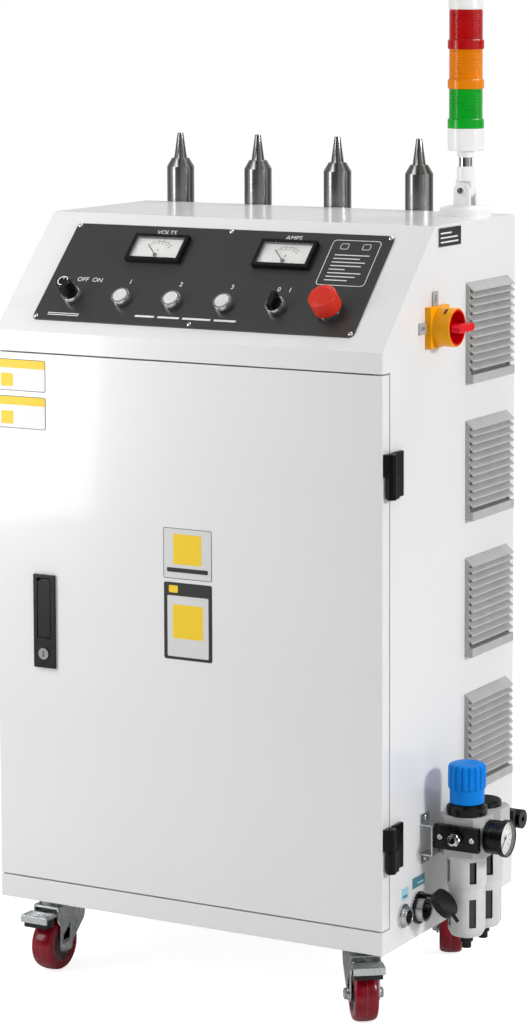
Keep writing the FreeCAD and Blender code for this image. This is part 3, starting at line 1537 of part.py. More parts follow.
# Casters: fixed plates with kingpins, turning forks, wheels and pedals
casters = (
    ("front_left", "-half_w + caster_in_x", "-half_d + caster_in_y", "turn_fl", True),
    ("front_right", "half_w - caster_in_x", "-half_d + caster_in_y", "turn_fr", True),
    ("back_left", "-half_w + caster_in_x", "half_d - caster_in_y", "turn_bl", False),
    ("back_right", "half_w - caster_in_x", "half_d - caster_in_y", "turn_br", False),
)
plates = []
race_low = "caster_h - caster_plate_t - race_h"
for name, x, y, heading, braked in casters:
    top = middle(
        name + "_top",
        "caster_plate",
        "caster_plate",
        "caster_plate_t",
        z="caster_h - caster_plate_t",
    )
    race = rod(name + "_race", "race_r", "race_h", z=race_low)
    king_l = "crown_t + 2 * king_play"
    king = rod(name + "_king", "king_r", king_l, z=race_low + " - crown_t - 2 * king_play")
    king_head = rod(
        name + "_king_head",
        "king_head_r",
        "king_head_h",
        z=race_low + " - crown_t - 2 * king_play - king_head_h",
    )
    plates.append(place(join(name + "_plate", top, race, king, king_head), x, y))

    crown_disc = rod(name + "_crown", "crown_r", "crown_t", z="fork_top - crown_t")
    legs = []
    leg_points = [
        ("-fork_nose", "fork_top"),
        ("fork_tail", "fork_top"),
        ("fork_tail", "fork_top - fork_skirt"),
        ("trail + fork_cheek - 1.5", "wheel_r + 27"),
        ("trail + fork_cheek", "wheel_r"),
        ("trail + fork_cheek - 3", "wheel_r - fork_eye + 3"),
        ("trail", "wheel_r - fork_eye"),
        ("trail - 8", "wheel_r - fork_eye + 2"),
        ("trail - 19.5", "wheel_r + 4"),
        ("-fork_nose + 6", "wheel_r + 27"),
        ("-fork_nose", "fork_top - 8"),
    ]
    for side, shift in enumerate(("fork_in + fork_t / 2", "-fork_in - fork_t / 2")):
        leg = extruded("%s_leg_%d" % (name, side + 1), "XZ_Plane", leg_points, "fork_t")
        legs.append(place(leg, y=shift))
    bridge = block(
        name + "_bridge",
        "fork_nose + fork_tail",
        "2 * fork_in + 2 * fork_t",
        "crown_t",
        "-fork_nose",
        "-fork_in - fork_t",
        "fork_top - crown_t",
    )
    fork_tools = [
        rod(name + "_king_hole", "king_r + king_play", "4 * crown_t", z="fork_top - 3 * crown_t"),
        rod(name + "_axle_hole", "axle_r", "4 * fork_in", "trail", "-2 * fork_in", "wheel_r", along="y"),
    ]
    if braked:
        pin_hole = rod(
            name + "_pin_hole",
            "pedal_pin_r + pedal_pin_play",
            "4 * fork_in",
            "pedal_pin_t",
            "-2 * fork_in",
            "pedal_pin_z",
            along="y",
        )
        fork_tools.append(pin_hole)
    fork = cut(name + "_fork", join(name + "_fork_solid", crown_disc, bridge, *legs), *fork_tools)
    axle_l = "2 * fork_in + 2 * fork_t"
    axle_y = "-fork_in - fork_t"
    axle = join(
        name + "_axle",
        rod(name + "_shank", "axle_r", axle_l, "trail", axle_y, "wheel_r", along="y"),
        rod(
            name + "_head",
            "axle_head_r",
            "axle_head_h",
            "trail",
            axle_y + " - axle_head_h",
            "wheel_r",
            along="y",
        ),
        rod(name + "_nut", "axle_head_r", "axle_head_h", "trail", "fork_in + fork_t", "wheel_r", along="y"),
    )
    fork_all = together(name + "_fork_all", fork, axle)
    turn(fork_all, (0, 0, 1), heading)
    node("fork_" + name, name.replace("_", " ").capitalize() + " caster fork", place(fork_all, x, y))

    tyre = turned(
        name + "_tyre",
        [
            ("core_r", "-wheel_w / 2"),
            ("wheel_edge_r - 2.5", "-wheel_w / 2"),
            ("wheel_edge_r", "-wheel_w / 2 + 2.5"),
            ("wheel_r", "-wheel_w / 6"),
            ("wheel_r", "wheel_w / 6"),
            ("wheel_edge_r", "wheel_w / 2 - 2.5"),
            ("wheel_edge_r - 2.5", "wheel_w / 2"),
            ("core_r", "wheel_w / 2"),
        ],
    )
    core = turned(
        name + "_core",
        [
            ("axle_r + axle_play", "-hub_w / 2"),
            ("hub_r", "-hub_w / 2"),
            ("hub_r", "-wheel_w / 2 + web_sink"),
            ("core_r - 3", "-wheel_w / 2 + web_sink"),
            ("core_r - 3", "-wheel_w / 2"),
            ("core_r", "-wheel_w / 2"),
            ("core_r", "wheel_w / 2"),
            ("core_r - 3", "wheel_w / 2"),
            ("core_r - 3", "wheel_w / 2 - web_sink"),
            ("hub_r", "wheel_w / 2 - web_sink"),
            ("hub_r", "hub_w / 2"),
            ("axle_r + axle_play", "hub_w / 2"),
        ],
    )
    wheel = together(name + "_wheel_flat", tyre, core)
    wheel.Placement = FreeCAD.Placement(
        FreeCAD.Vector(), FreeCAD.Rotation(FreeCAD.Vector(1, 0, 0), 90)
    )
    place(wheel, "trail", "0", "wheel_r")
    wheel_all = together(name + "_wheel_all", wheel)
    turn(wheel_all, (0, 0, 1), heading)
    node("wheel_" + name, name.replace("_", " ").capitalize() + " caster wheel", place(wheel_all, x, y))

    if braked:
        lever = block(
            name + "_lever",
            "pedal_l",
            "pedal_w",
            "pedal_t",
            "pedal_pin_t",
            "-pedal_w / 2",
            "pedal_pin_z",
        )
        lip = block(
            name + "_lip",
            "pedal_l - tread_start",
            "tread_w",
            "pedal_t + 1",
            "pedal_pin_t + tread_start",
            "-tread_w / 2",
            "pedal_pin_z",
        )
        brow = block(
            name + "_brow",
            "pedal_t",
            "tread_w",
            "tread_fold",
            "pedal_pin_t + pedal_l - pedal_t",
            "-tread_w / 2",
            "pedal_pin_z + pedal_t - tread_fold",
        )
        hub = rod(
            name + "_pedal_hub",
            "2 * pedal_pin_r",
            "pedal_w",
            "pedal_pin_t",
            "-pedal_w / 2",
            "pedal_pin_z",
            along="y",
        )
        pin = rod(
            name + "_pedal_pin",
            "pedal_pin_r",
            "2 * fork_in + 2 * fork_t",
            "pedal_pin_t",
            "-fork_in - fork_t",
            "pedal_pin_z",
            along="y",
        )
        shoe = block(
            name + "_shoe",
            "shoe_l",
            "pedal_w * 0.8",
            "shoe_low + 1",
            "pedal_pin_t + shoe_start",
            "-pedal_w * 0.4",
            "pedal_pin_z - shoe_low",
        )
        pedal = join(name + "_pedal", lever, lip, brow, hub, pin, shoe)
        turn(pedal, (0, 0, 1), heading)
        node("pedal_" + name, name.replace("_", " ").capitalize() + " brake pedal", place(pedal, x, y))
node("caster_plates", "Caster plates", together("caster_plates", *plates))

# Door: a shallow pan with returns on all four sides
door_h = "door_high - door_low - 2 * door_gap"
door_solid = block("door_solid", "cab_w", "door_depth", door_h)
door_hollow = block(
    "door_hollow",
    "cab_w - 2 * door_t",
    "door_depth",
    door_h + " - 2 * door_t",
    "door_t",
    "door_t",
    "door_t",
)
door_cut = block(
    "door_cut",
    "lock_back_w + 2 * lock_cut_play",
    "4 * door_t",
    "lock_back_l + 2 * lock_cut_play",
    "half_w + lock_x - lock_back_w / 2 - lock_cut_play",
    "-door_t",
    "lock_z - door_low - door_gap - lock_back_l / 2 - lock_cut_play",
)
door = cut("door", door_solid, door_hollow, door_cut)
node("door_panel", "Door panel", place(door, "-half_w", "-half_d", "caster_h + door_low + door_gap"))

# Hinges: body leaf with the lower knuckle and pin, door leaf with the upper one
body_leaves = []
door_leaves = []
axis_y = "-half_d + hinge_back"
for k, low in enumerate(("hinge_top_z", "hinge_low_z")):
    tag = str(k + 1)
    half = "(hinge_h - hinge_play) / 2"
    leaf = block("leaf_%s" % tag, "leaf_t", "leaf_w", "hinge_h", "-hinge_out", "leaf_back - hinge_back")
    arm = block(
        "arm_%s" % tag,
        "hinge_arm_w - 2",
        "leaf_back - hinge_back + 2",
        half,
        "-hinge_arm_w / 2 + 1",
    )
    low_knuckle = rod("low_knuckle_%s" % tag, "knuckle_r", half)
    hinge_pin = rod("hinge_pin_%s" % tag, "hinge_pin_r", "hinge_h - 1")
    body_leaf = join("body_leaf_%s" % tag, leaf, arm, low_knuckle, hinge_pin)
    body_leaves.append(place(body_leaf, "half_w + hinge_out", axis_y, "caster_h + " + low))
    up = "(hinge_h + hinge_play) / 2"
    up_knuckle = rod("up_knuckle_%s" % tag, "knuckle_r", half, z=up)
    wing = block(
        "wing_%s" % tag,
        "hinge_out",
        "door_leaf_w",
        half,
        "-hinge_out",
        "-door_leaf_w / 2",
        up,
    )
    pin_hole = rod("hinge_hole_%s" % tag, "hinge_pin_r + hinge_play", "hinge_h")
    door_leaf = cut("door_leaf_%s" % tag, join("door_leaf_solid_%s" % tag, up_knuckle, wing), pin_hole)
    door_leaves.append(place(door_leaf, "half_w + hinge_out", axis_y, "caster_h + " + low))
node("hinge_body_leaves", "Hinge leaves on the body", together("hinge_body", *body_leaves))
node("hinge_door_leaves", "Hinge leaves on the door", together("hinge_door", *door_leaves))

# Door lock: frame with a handle recess, fold-out handle and key barrel
lock_frame = middle("lock_frame", "lock_w", "lock_l", "lock_up")
lock_back = middle("lock_back", "lock_back_w", "lock_back_l", "lock_back_h + 1", z="-lock_back_h")
lock_recess = middle(
    "lock_recess",
    "recess_w",
    "recess_high - recess_low",
    "recess_h + 2 * lock_up",
    y="recess_mid",
    z="-recess_h",
)
pin_y = "recess_high - grip_pin_drop"
lock_pin_hole = rod(
    "lock_pin_hole",
    "grip_pin_r + grip_pin_play",
    "recess_w + 4",
    "-recess_w / 2 - 2",
    pin_y,
    "-grip_pin_sink",
    along="x",
)
key_bore = rod("key_bore", "key_r + key_play", "3 * lock_back_h", y="key_z", z="-2 * lock_back_h")
lock_solid = join("lock_solid", lock_frame, lock_back)
lock_case = cut("lock_case", lock_solid, lock_recess, lock_pin_hole, key_bore)
node("lock_housing", "Lock housing", on_front(lock_case, "lock_x", "lock_z"))
grip_w = "recess_w - 2 * grip_play"
grip_l = pin_y + " - recess_low - grip_play"
grip = block(
    "grip",
    grip_w,
    grip_l,
    "grip_back + grip_front",
    "-(%s) / 2" % grip_w,
    "recess_low + grip_play",
    "-grip_back",
)
grip_x = "-(%s) / 2" % grip_w
grip_head = rod("grip_head", "grip_pin_r + 1", grip_w, grip_x, pin_y, "-grip_pin_sink", along="x")
pin_x = "-recess_w / 2 - 1.5"
grip_pin = rod("grip_pin", "grip_pin_r", "recess_w + 3", pin_x, pin_y, "-grip_pin_sink", along="x")
handle = join("handle", grip, grip_head, grip_pin)
node("lock_handle", "Lock handle", on_front(handle, "lock_x", "lock_z"))
barrel = rod("key_body", "key_r", "lock_up + key_up + cam_deep", z="-cam_deep")
keyway = middle("keyway", "keyway_w", "keyway_l", "keyway_h + 1", z="lock_up + key_up - keyway_h")
cam = block("cam", "cam_w", "cam_l", "cam_t", "-cam_w / 2", "-cam_l + cam_w / 2", "-cam_deep - cam_t")
cam_boss = rod("cam_boss", "key_r", "cam_t", z="-cam_deep - cam_t")
key = cut("key", join("key_solid", barrel, cam, cam_boss), keyway)
node("lock_barrel", "Key barrel and latch cam", on_front(key, "lock_x", "lock_z + key_z"))

doc.recompute()

bad = []
for obj in doc.Objects:
    if "Invalid" in obj.State or "Error" in obj.State:
        bad.append(obj.Name)
for name, obj in nodes.items():
    if obj.Shape.isNull() or not obj.Shape.isValid() or not obj.Shape.Solids:
        bad.append(name)
if bad:
    raise RuntimeError("pieces that did not build: " + ", ".join(bad))

os.makedirs("parts", exist_ok=True)
for name, obj in nodes.items():
    obj.Shape.exportStep(os.path.join("parts", name + ".step"))
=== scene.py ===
"""Looks of a white cabinet machine on casters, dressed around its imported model."""

import json
import math

import bmesh
import bpy
from mathutils import Matrix, Vector


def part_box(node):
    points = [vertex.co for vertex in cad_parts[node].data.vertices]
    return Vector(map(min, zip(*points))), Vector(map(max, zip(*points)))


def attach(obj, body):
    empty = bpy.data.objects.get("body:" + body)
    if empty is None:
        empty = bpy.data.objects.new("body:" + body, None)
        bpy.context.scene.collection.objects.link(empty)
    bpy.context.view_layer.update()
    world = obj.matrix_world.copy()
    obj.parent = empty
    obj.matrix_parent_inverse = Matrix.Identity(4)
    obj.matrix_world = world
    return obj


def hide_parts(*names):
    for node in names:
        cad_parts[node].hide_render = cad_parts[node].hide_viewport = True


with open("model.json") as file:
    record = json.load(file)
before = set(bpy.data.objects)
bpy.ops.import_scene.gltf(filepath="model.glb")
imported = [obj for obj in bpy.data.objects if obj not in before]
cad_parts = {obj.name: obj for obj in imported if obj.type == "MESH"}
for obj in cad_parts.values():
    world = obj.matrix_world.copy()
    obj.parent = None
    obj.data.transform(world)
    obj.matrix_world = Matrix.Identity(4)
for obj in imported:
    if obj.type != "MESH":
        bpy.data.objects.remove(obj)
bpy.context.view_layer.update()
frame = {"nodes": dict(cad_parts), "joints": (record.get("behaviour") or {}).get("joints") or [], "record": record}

MM = 0.001
scene = bpy.context.scene


def joint(name):
    """The record of one joint."""
    return next(j for j in frame["joints"] if j["name"] == name)


class Face:
    """A flat face of the machine, measured in millimetres from its origin."""

    def __init__(self, origin, right, up):
        self.origin = Vector(origin)
        self.right = Vector(right)
        self.up = Vector(up)
        self.out = self.right.cross(self.up)

    def spot(self, x, up, out=0):
        """A place on the face or in front of it, in metres."""
        return self.origin + MM * (x * self.right + up * self.up + out * self.out)

    def at(self, x=0, up=0, out=0, turn=0):
        """Local millimetres about a place on the face, turned about the way out of it."""
        basis = Matrix((self.right, self.up, self.out)).transposed().to_4x4()
        spun = Matrix.Rotation(math.radians(turn), 4, "Z")
        return Matrix.Translation(self.spot(x, up, out)) @ basis @ spun @ Matrix.Scale(MM, 4)


shell_low, shell_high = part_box("cabinet_shell")
rear_low, rear_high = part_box("rear_panel")
row = Vector(joint("power_knob_turn")["pos_m"])
press = Vector(joint("push_button_1_press")["axis"])
panel_up = Vector((0, -press.z, press.y))
underside = shell_low.z

panel = Face((0, row.y, row.z), (1, 0, 0), panel_up)
front = Face((0, shell_low.y, underside), (1, 0, 0), (0, 0, 1))
side = Face((shell_high.x, 0, underside), (0, 1, 0), (0, 0, 1))
rear = Face((0, rear_high.y, underside), (-1, 0, 0), (0, 0, 1))


# Finishes

class Net:
    """A node tree under construction."""

    def __init__(self, tree):
        self.tree = tree

    def add(self, kind, inputs=None, **settings):
        node = self.tree.nodes.new(kind)
        for key, value in settings.items():
            setattr(node, key, value)
        for key, value in (inputs or {}).items():
            self.feed(node.inputs[key], value)
        return node

    def feed(self, socket, value):
        if isinstance(value, bpy.types.NodeSocket):
            self.tree.links.new(value, socket)
        else:
            socket.default_value = value


def tint(code):
    """A linear colour from a hex code."""
    parts = [int(code[k:k + 2], 16) / 255 for k in (1, 3, 5)]
    linear = [p / 12.92 if p <= 0.04045 else ((p + 0.055) / 1.055) ** 2.4 for p in parts]
    return (*linear, 1.0)


def shade(color, amount):
    """A colour made lighter or darker."""
    return tuple(min(1.0, c * amount) for c in color[:3]) + (1.0,)


# Noise lies mostly between these two values, so a look spreads over them.
NOISE_LOW, NOISE_HIGH = 0.3, 0.7


class Finish:
    """One surface finish and the record's slot that it belongs to."""

    def __init__(self, name, code, rough, slot, metal=0.0, **sockets):
        self.slot = slot
        self.color = tint(code)
        self.material = bpy.data.materials.new(name)
        self.material.use_nodes = True
        self.net = Net(self.material.node_tree)
        self.shader = self.material.node_tree.nodes["Principled BSDF"]
        self.where = self.net.add("ShaderNodeTexCoord").outputs["Object"]
        self.shader.inputs["Base Color"].default_value = self.color
        self.shader.inputs["Roughness"].default_value = rough
        self.shader.inputs["Metallic"].default_value = metal
        for key, value in sockets.items():
            self.shader.inputs[key.replace("_", " ")].default_value = value

    def stretched(self, scale):
        """Object coordinates scaled apart along the axes."""
        return self.net.add("ShaderNodeMapping", {"Vector": self.where, "Scale": scale}).outputs["Vector"]

    def noise(self, scale, detail=2.0, where=None):
        """Cloudy noise from 0 to 1, its scale in cycles per metre."""
        inputs = {"Vector": where or self.where, "Scale": scale, "Detail": detail}
        return self.net.add("ShaderNodeTexNoise", inputs).outputs["Fac"]

    def cells(self, scale):
        """A random value for each crystal of a spangled coat."""
        color = self.net.add("ShaderNodeTexVoronoi", {"Vector": self.where, "Scale": scale}).outputs["Color"]
        return self.net.add("ShaderNodeSeparateColor", {"Color": color}).outputs["Red"]

    def range(self, value, low, high):
        """Noise spread over a range of values."""
        inputs = {"Value": value, "From Min": NOISE_LOW, "From Max": NOISE_HIGH, "To Min": low, "To Max": high}
        return self.net.add("ShaderNodeMapRange", inputs).outputs["Result"]

    def mottle(self, value, low, high):
        """Base colour that runs between a darker and a lighter tone."""
        ramp = self.net.add("ShaderNodeValToRGB", {"Fac": value})
        for stop, place, amount in zip(ramp.color_ramp.elements, (NOISE_LOW, NOISE_HIGH), (low, high)):
            stop.position = place
            stop.color = shade(self.color, amount)
        self.net.feed(self.shader.inputs["Base Color"], ramp.outputs["Color"])
        return self

    def polish(self, value, low, high):
        """Roughness that varies over the surface."""
        self.net.feed(self.shader.inputs["Roughness"], self.range(value, low, high))
        return self

    def relief(self, value, height):
        """Fine surface relief, its height in millimetres."""
        bump = self.net.add("ShaderNodeBump", {"Height": value, "Distance": height * MM, "Strength": 1.0})
        self.net.feed(self.shader.inputs["Normal"], bump.outputs["Normal"])
        return self


def enamel(name, code, rough, slot, **sockets):
    """Sprayed and baked paint with a faint orange peel."""
    paint = Finish(name, code, rough, slot, **sockets)
    paint.mottle(paint.noise(4.0), 0.985, 1.008)
    paint.polish(paint.noise(18.0), rough * 0.97, rough * 1.04)
    return paint.relief(paint.noise(520.0, 1.0), 0.004)


def moulded(name, code, rough, slot, grain=0.02, **sockets):
    """Moulded plastic with a fine spark-eroded grain."""
    plastic = Finish(name, code, rough, slot, **sockets)
    plastic.mottle(plastic.noise(40.0), 0.94, 1.05)
    plastic.polish(plastic.noise(120.0), rough * 0.85, rough * 1.2)
    return plastic.relief(plastic.noise(1800.0, 2.0), grain)


def bright_metal(name, code, rough, slot):
    """Polished plating with faint handling marks."""
    metal = Finish(name, code, rough, slot, metal=1.0)
    metal.mottle(metal.noise(60.0), 0.9, 1.0)
    return metal.polish(metal.noise(250.0, 3.0), rough * 0.6, rough * 1.9)


def spangled(name, code, rough, slot):
    """Zinc coat with crystals and dull patches."""
    metal = Finish(name, code, rough, slot, metal=1.0)
    metal.mottle(metal.cells(320.0), 0.92, 1.02)
    metal.polish(metal.noise(90.0, 3.0), rough * 0.8, rough * 1.3)
    return metal.relief(metal.noise(500.0, 2.0), 0.01)


def turned_metal(name, code, rough, slot):
    """Lathe-turned metal with rings of fine tool marks."""
    metal = Finish(name, code, rough, slot, metal=1.0)
    tool_marks = metal.noise(1.0, 2.0, metal.stretched((20.0, 20.0, 1400.0)))
    metal.mottle(tool_marks, 0.9, 1.04)
    return metal.polish(metal.noise(35.0, 2.0), rough * 0.85, rough * 1.15)


def tinted_lens(name, code, slot):
    """Clear coloured lens moulding."""
    lens = Finish(
        name, code, 0.14, slot,
        Transmission_Weight=0.1, IOR=1.45, Specular_IOR_Level=0.25, Coat_Weight=0.15, Coat_Roughness=0.08,
    )
    return lens.mottle(lens.noise(25.0), 0.88, 1.08)


def see_through(name, code, opacity, slot):
    """Thin clear plastic."""
    sheet = Finish(name, code, 0.05, slot, Alpha=opacity, Specular_IOR_Level=0.8)
    return sheet.polish(sheet.noise(150.0, 2.0), 0.03, 0.09)


white = enamel("cabinet_white", "#ebebec", 0.24, "white_sheet", Coat_Weight=0.35, Coat_Roughness=0.06)
rack_paint = enamel("rack_white_paint", "#e2e2e2", 0.32, "rack_white")
plate_black = enamel("plate_black", "#303131", 0.34, "black_plate")
ink = enamel("white_ink", "#e9e9e6", 0.55, "dial_white")
hinge_black = moulded("hinge_black", "#050506", 0.3, "black_metal", 0.008, Specular_IOR_Level=0.2)
lock_black = moulded("lock_black", "#121314", 0.32, "black_metal", Specular_IOR_Level=0.4)
frame_black = moulded("frame_black", "#070708", 0.3, "meter_black", 0.002, Specular_IOR_Level=0.3)
knob_black = moulded("knob_black", "#09090a", 0.26, "knob_black", Specular_IOR_Level=0.35)
air_black = moulded("air_black", "#080808", 0.26, "air_black", 0.008, Specular_IOR_Level=0.28)
rubber = moulded("cap_rubber", "#050505", 0.18, "rubber_black", 0.004, Specular_IOR_Level=0.3)
dial_card = moulded("dial_card", "#f1f1ee", 0.6, "dial_white", 0.005)
needle_paint = moulded("needle_paint", "#0a0a0a", 0.5, "needle_black", 0.0)
button_white = moulded("button_white", "#dcdcda", 0.22, "button_white", 0.004, Coat_Weight=0.5)
block_grey = moulded("block_grey", "#6d6f70", 0.5, "block_grey")
unit_grey = spangled("unit_steel", "#a6a8aa", 0.4, "unit_grey")
iso_yellow = moulded("isolator_yellow", "#f5a700", 0.34, "isolator_yellow", 0.01, Specular_IOR_Level=0.2)
iso_red = moulded("isolator_red", "#df0016", 0.3, "isolator_red", 0.008, Specular_IOR_Level=0.2)
stop_red = moulded("stop_red", "#d02e1d", 0.38, "isolator_red", 0.012, Specular_IOR_Level=0.25)
louvre_grey = moulded("louvre_grey", "#b3b3b2", 0.55, "louvre_grey", 0.015)
air_grey = enamel("air_body_grey", "#c3c3c1", 0.34, "air_grey")
guard_grey = moulded("guard_grey", "#d5d5d4", 0.32, "guard_grey", 0.012)
regulator_blue = moulded("regulator_blue", "#0084e4", 0.4, "regulator_blue", 0.008, Specular_IOR_Level=0.14)
tower_white = moulded("tower_white", "#eeeeec", 0.34, "tower_white", 0.01)
chrome = bright_metal("chrome", "#d9dadb", 0.1, "chrome_ring")
zinc = spangled("zinc", "#c6c9ca", 0.26, "zinc")
gun_steel = turned_metal("gun_steel", "#8d8c8b", 0.22, "gun_steel")
socket_metal = bright_metal("socket_metal", "#d2d3d4", 0.13, "chrome_ring")
window = see_through("clear_window", "#ffffff", 0.1, "clear_cover")
# The bowls are clear plastic; their near-black, nearly opaque tone is painted shade for the dark inside of the
# guards, seen through the guards' slots.
bowl_shade_dark = see_through("bowl_painted_shade", "#191b1c", 0.86, "clear_cover")
lens_green = tinted_lens("green_lens", "#06ae28", "lens_green")
lens_amber = tinted_lens("amber_lens", "#f58c00", "lens_amber")
lens_red = tinted_lens("red_lens", "#c00c10", "lens_red")
wheel_core = moulded("wheel_core", "#4d4542", 0.55, "wheel_red")
label_white = enamel("label_white", "#f0f0ee", 0.4, "white_sheet")
label_grey = enamel("label_grey", "#d9d9d8", 0.4, "white_sheet")
label_yellow = enamel("label_yellow", "#f6cf1c", 0.4, "isolator_yellow")
label_black = enamel("label_black", "#232323", 0.4, "black_plate")
label_blue = enamel("label_blue", "#9fd0e2", 0.4, "white_sheet")
label_teal = enamel("label_teal", "#4d8296", 0.4, "white_sheet")
tab_grey = moulded("tab_grey", "#a9adad", 0.4, "white_sheet", 0.005)
# A darkened copy of the red, painted as the shade inside the slot of the isolator ring.
slot_shade_red = moulded("slot_shade_red", "#611006", 0.5, "isolator_red", 0.0)
mat_grey = moulded("filter_mat", "#77787a", 0.9, "louvre_grey", 0.1)
pad_black = moulded("pad_black", "#0a0a0a", 0.35, "rubber_black", 0.02, Specular_IOR_Level=0.4)
seam_pale = moulded("mould_seam", "#a6646c", 0.5, "wheel_red", 0.0)


def cast_tyre():
    """Deep red cast polyurethane with cloudy depth and scuffs."""
    tyre = Finish(
        "tyre_red", "#82001a", 0.2, "wheel_red",
        Specular_IOR_Level=0.3, Coat_Weight=0.2, Coat_Roughness=0.05,
    )
    tyre.mottle(tyre.noise(60.0, 3.0), 0.8, 1.15)
    tyre.polish(tyre.noise(160.0, 4.0), 0.16, 0.32)
    return tyre.relief(tyre.noise(200.0, 2.0), 0.02)


tyre_red = cast_tyre()


# Making pieces

def linked(name, data):
    """An object of some data, linked into the scene."""
    made = bpy.data.objects.new(name, data)
    scene.collection.objects.link(made)
    return made


def plain_mesh(work, name):
    """The mesh of a bmesh, which is then freed."""
    mesh = bpy.data.meshes.new(name)
    work.to_mesh(mesh)
    work.free()
    return mesh


def upright(spot):
    """Local millimetres that stand upright on a spot."""
    return Matrix.Translation(spot) @ Matrix.Scale(MM, 4)


def smooth_below(mesh, angle):
    """Smooth shading over every edge that turns less than an angle."""
    work = bmesh.new()
    work.from_mesh(mesh)
    for polygon in work.faces:
        polygon.smooth = True
    limit = math.radians(angle)
    for edge in work.edges:
        edge.smooth = len(edge.link_faces) == 2 and edge.calc_face_angle(0) < limit
    work.to_mesh(mesh)
    work.free()


def place_mesh(name, mesh, finish, body, replaced=(), sharp=32):
    """Put a finished mesh in the scene as one piece on a body."""
    if sharp:
        smooth_below(mesh, sharp)
    mesh.materials.clear()
    mesh.materials.append(finish.material)
    piece = linked(name, mesh)
    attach(piece, body)
    if replaced:
        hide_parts(*replaced)
    return piece


def mesh_of(work, matrix, name="work"):
    """Turn a bmesh in local millimetres into a mesh in place."""
    bmesh.ops.transform(work, matrix=matrix, verts=work.verts)
    bmesh.ops.recalc_face_normals(work, faces=work.faces)
    return plain_mesh(work, name)


def merged(meshes):
    """Several meshes as one."""
    work = bmesh.new()
    for mesh in meshes:
        work.from_mesh(mesh)
    return plain_mesh(work, "merged")


def arc(cx, cy, r, start, end, steps):
    """Points along an arc, its angles in degrees."""
    angles = [math.radians(start + (end - start) * k / steps) for k in range(steps + 1)]
    return [(cx + r * math.cos(a), cy + r * math.sin(a)) for a in angles]


def rounded(w, l, r, steps=6):
    """Corners of a rounded rectangle about its middle."""
    points = []
    for sx, sy, start in ((1, 1, 0), (-1, 1, 90), (-1, -1, 180), (1, -1, 270)):
        points += arc(sx * (w / 2 - r), sy * (l / 2 - r), r, start, start + 90, steps)
    return points


def slab(points, low, high, edge=0.0):
    """A flat piece from its outline, with a small edge round its top."""
    work = bmesh.new()
    count = len(points)
    cx = sum(p[0] for p in points) / count
    cy = sum(p[1] for p in points) / count
    half = max(abs(p[0] - cx) for p in points), max(abs(p[1] - cy) for p in points)
    levels = [(low, 0.0), (high - edge, 0.0), (high, edge)] if edge else [(low, 0.0), (high, 0.0)]
    rings = []
    for z, inset in levels:
        shrink = 1 - inset / half[0], 1 - inset / half[1]
        rings.append([work.verts.new((cx + (x - cx) * shrink[0], cy + (y - cy) * shrink[1], z)) for x, y in points])
    for lower, upper in zip(rings, rings[1:]):
        for k in range(count):
            work.faces.new((lower[k], lower[(k + 1) % count], upper[(k + 1) % count], upper[k]))
    work.faces.new(rings[0][::-1])
    work.faces.new(rings[-1])
    return work


def lathe(profile, steps, reach=None, closed=False):
    """A turned form about Z from (radius, height) points; reach may shape the radius round the axis."""
    work = bmesh.new()
    rings = []
    for index, (r, z) in enumerate(profile):
        if r < 1e-6:
            rings.append([work.verts.new((0, 0, z))])
            continue
        ring = []
        for k in range(steps):
            angle = 2 * math.pi * k / steps
            there = reach(r, angle, index) if reach else r
            ring.append(work.verts.new((there * math.cos(angle), there * math.sin(angle), z)))
        rings.append(ring)
    pairs = list(zip(rings, rings[1:]))
    if closed:
        pairs.append((rings[-1], rings[0]))
    for a, b in pairs:
        for k in range(steps):
            n = (k + 1) % steps
            if len(a) == 1 and len(b) > 1:
                work.faces.new((a[0], b[k], b[n]))
            elif len(b) == 1 and len(a) > 1:
                work.faces.new((a[k], a[n], b[0]))
            elif len(a) > 1:
                work.faces.new((a[k], a[n], b[n], b[k]))
    return work


def loop_strip(w, l, r, line, low, high):
    """A thin line that runs round a rounded rectangle."""
    outer = rounded(w, l, r)
    inner = rounded(w - 2 * line, l - 2 * line, max(r - line, 0.1))
    work = bmesh.new()
    rings = []
    for points, z in ((outer, low), (outer, high), (inner, high), (inner, low)):
        rings.append([work.verts.new((x, y, z)) for x, y in points])
    count = len(outer)
    for k in range(4):
        a, b = rings[k], rings[(k + 1) % 4]
        for n in range(count):
            work.faces.new((a[n], a[(n + 1) % count], b[(n + 1) % count], b[n]))
    return work


def axis_matrix(spot, axis):
    """Local millimetres with Z along an axis through a spot."""
    turn = Vector((0, 0, 1)).rotation_difference(Vector(axis)).to_matrix().to_4x4()
    return Matrix.Translation(spot) @ turn @ Matrix.Scale(MM, 4)


def softened(node, edge, finish, segments=2):
    """A node's own form with its sharp edges broken."""
    work = bmesh.new()
    work.from_mesh(frame["nodes"][node].data)
    bmesh.ops.remove_doubles(work, verts=work.verts, dist=0.002 * MM)
    bmesh.ops.dissolve_limit(work, angle_limit=math.radians(0.6), verts=work.verts, edges=work.edges)
    for polygon in work.faces:
        polygon.smooth = True
    shape = linked(node + "_shape", plain_mesh(work, node + "_soft"))
    bevel = shape.modifiers.new("edge", "BEVEL")
    bevel.width = edge * MM
    bevel.segments = segments
    bevel.limit_method = "ANGLE"
    bevel.angle_limit = math.radians(38)
    level = shape.modifiers.new("level_faces", "WEIGHTED_NORMAL")
    level.weight = 50
    level.keep_sharp = True
    return place_mesh(node + "_dressed", baked(shape), finish, frame_body(node), [node], None)


def frame_body(node):
    """The body that a node rides on."""
    bodies = frame["record"]["behaviour"]["bodies"]
    return next(body for body, nodes in bodies.items() if node in nodes)


def baked(shape):
    """The evaluated mesh of a work object, which is then removed."""
    graph = bpy.context.evaluated_depsgraph_get()
    mesh = bpy.data.meshes.new_from_object(shape.evaluated_get(graph))
    bpy.data.objects.remove(shape)
    return mesh


def coat(node, finish):
    """A better finish on a node whose form stays."""
    mesh = frame["nodes"][node].data
    mesh.materials.clear()
    mesh.materials.append(finish.material)


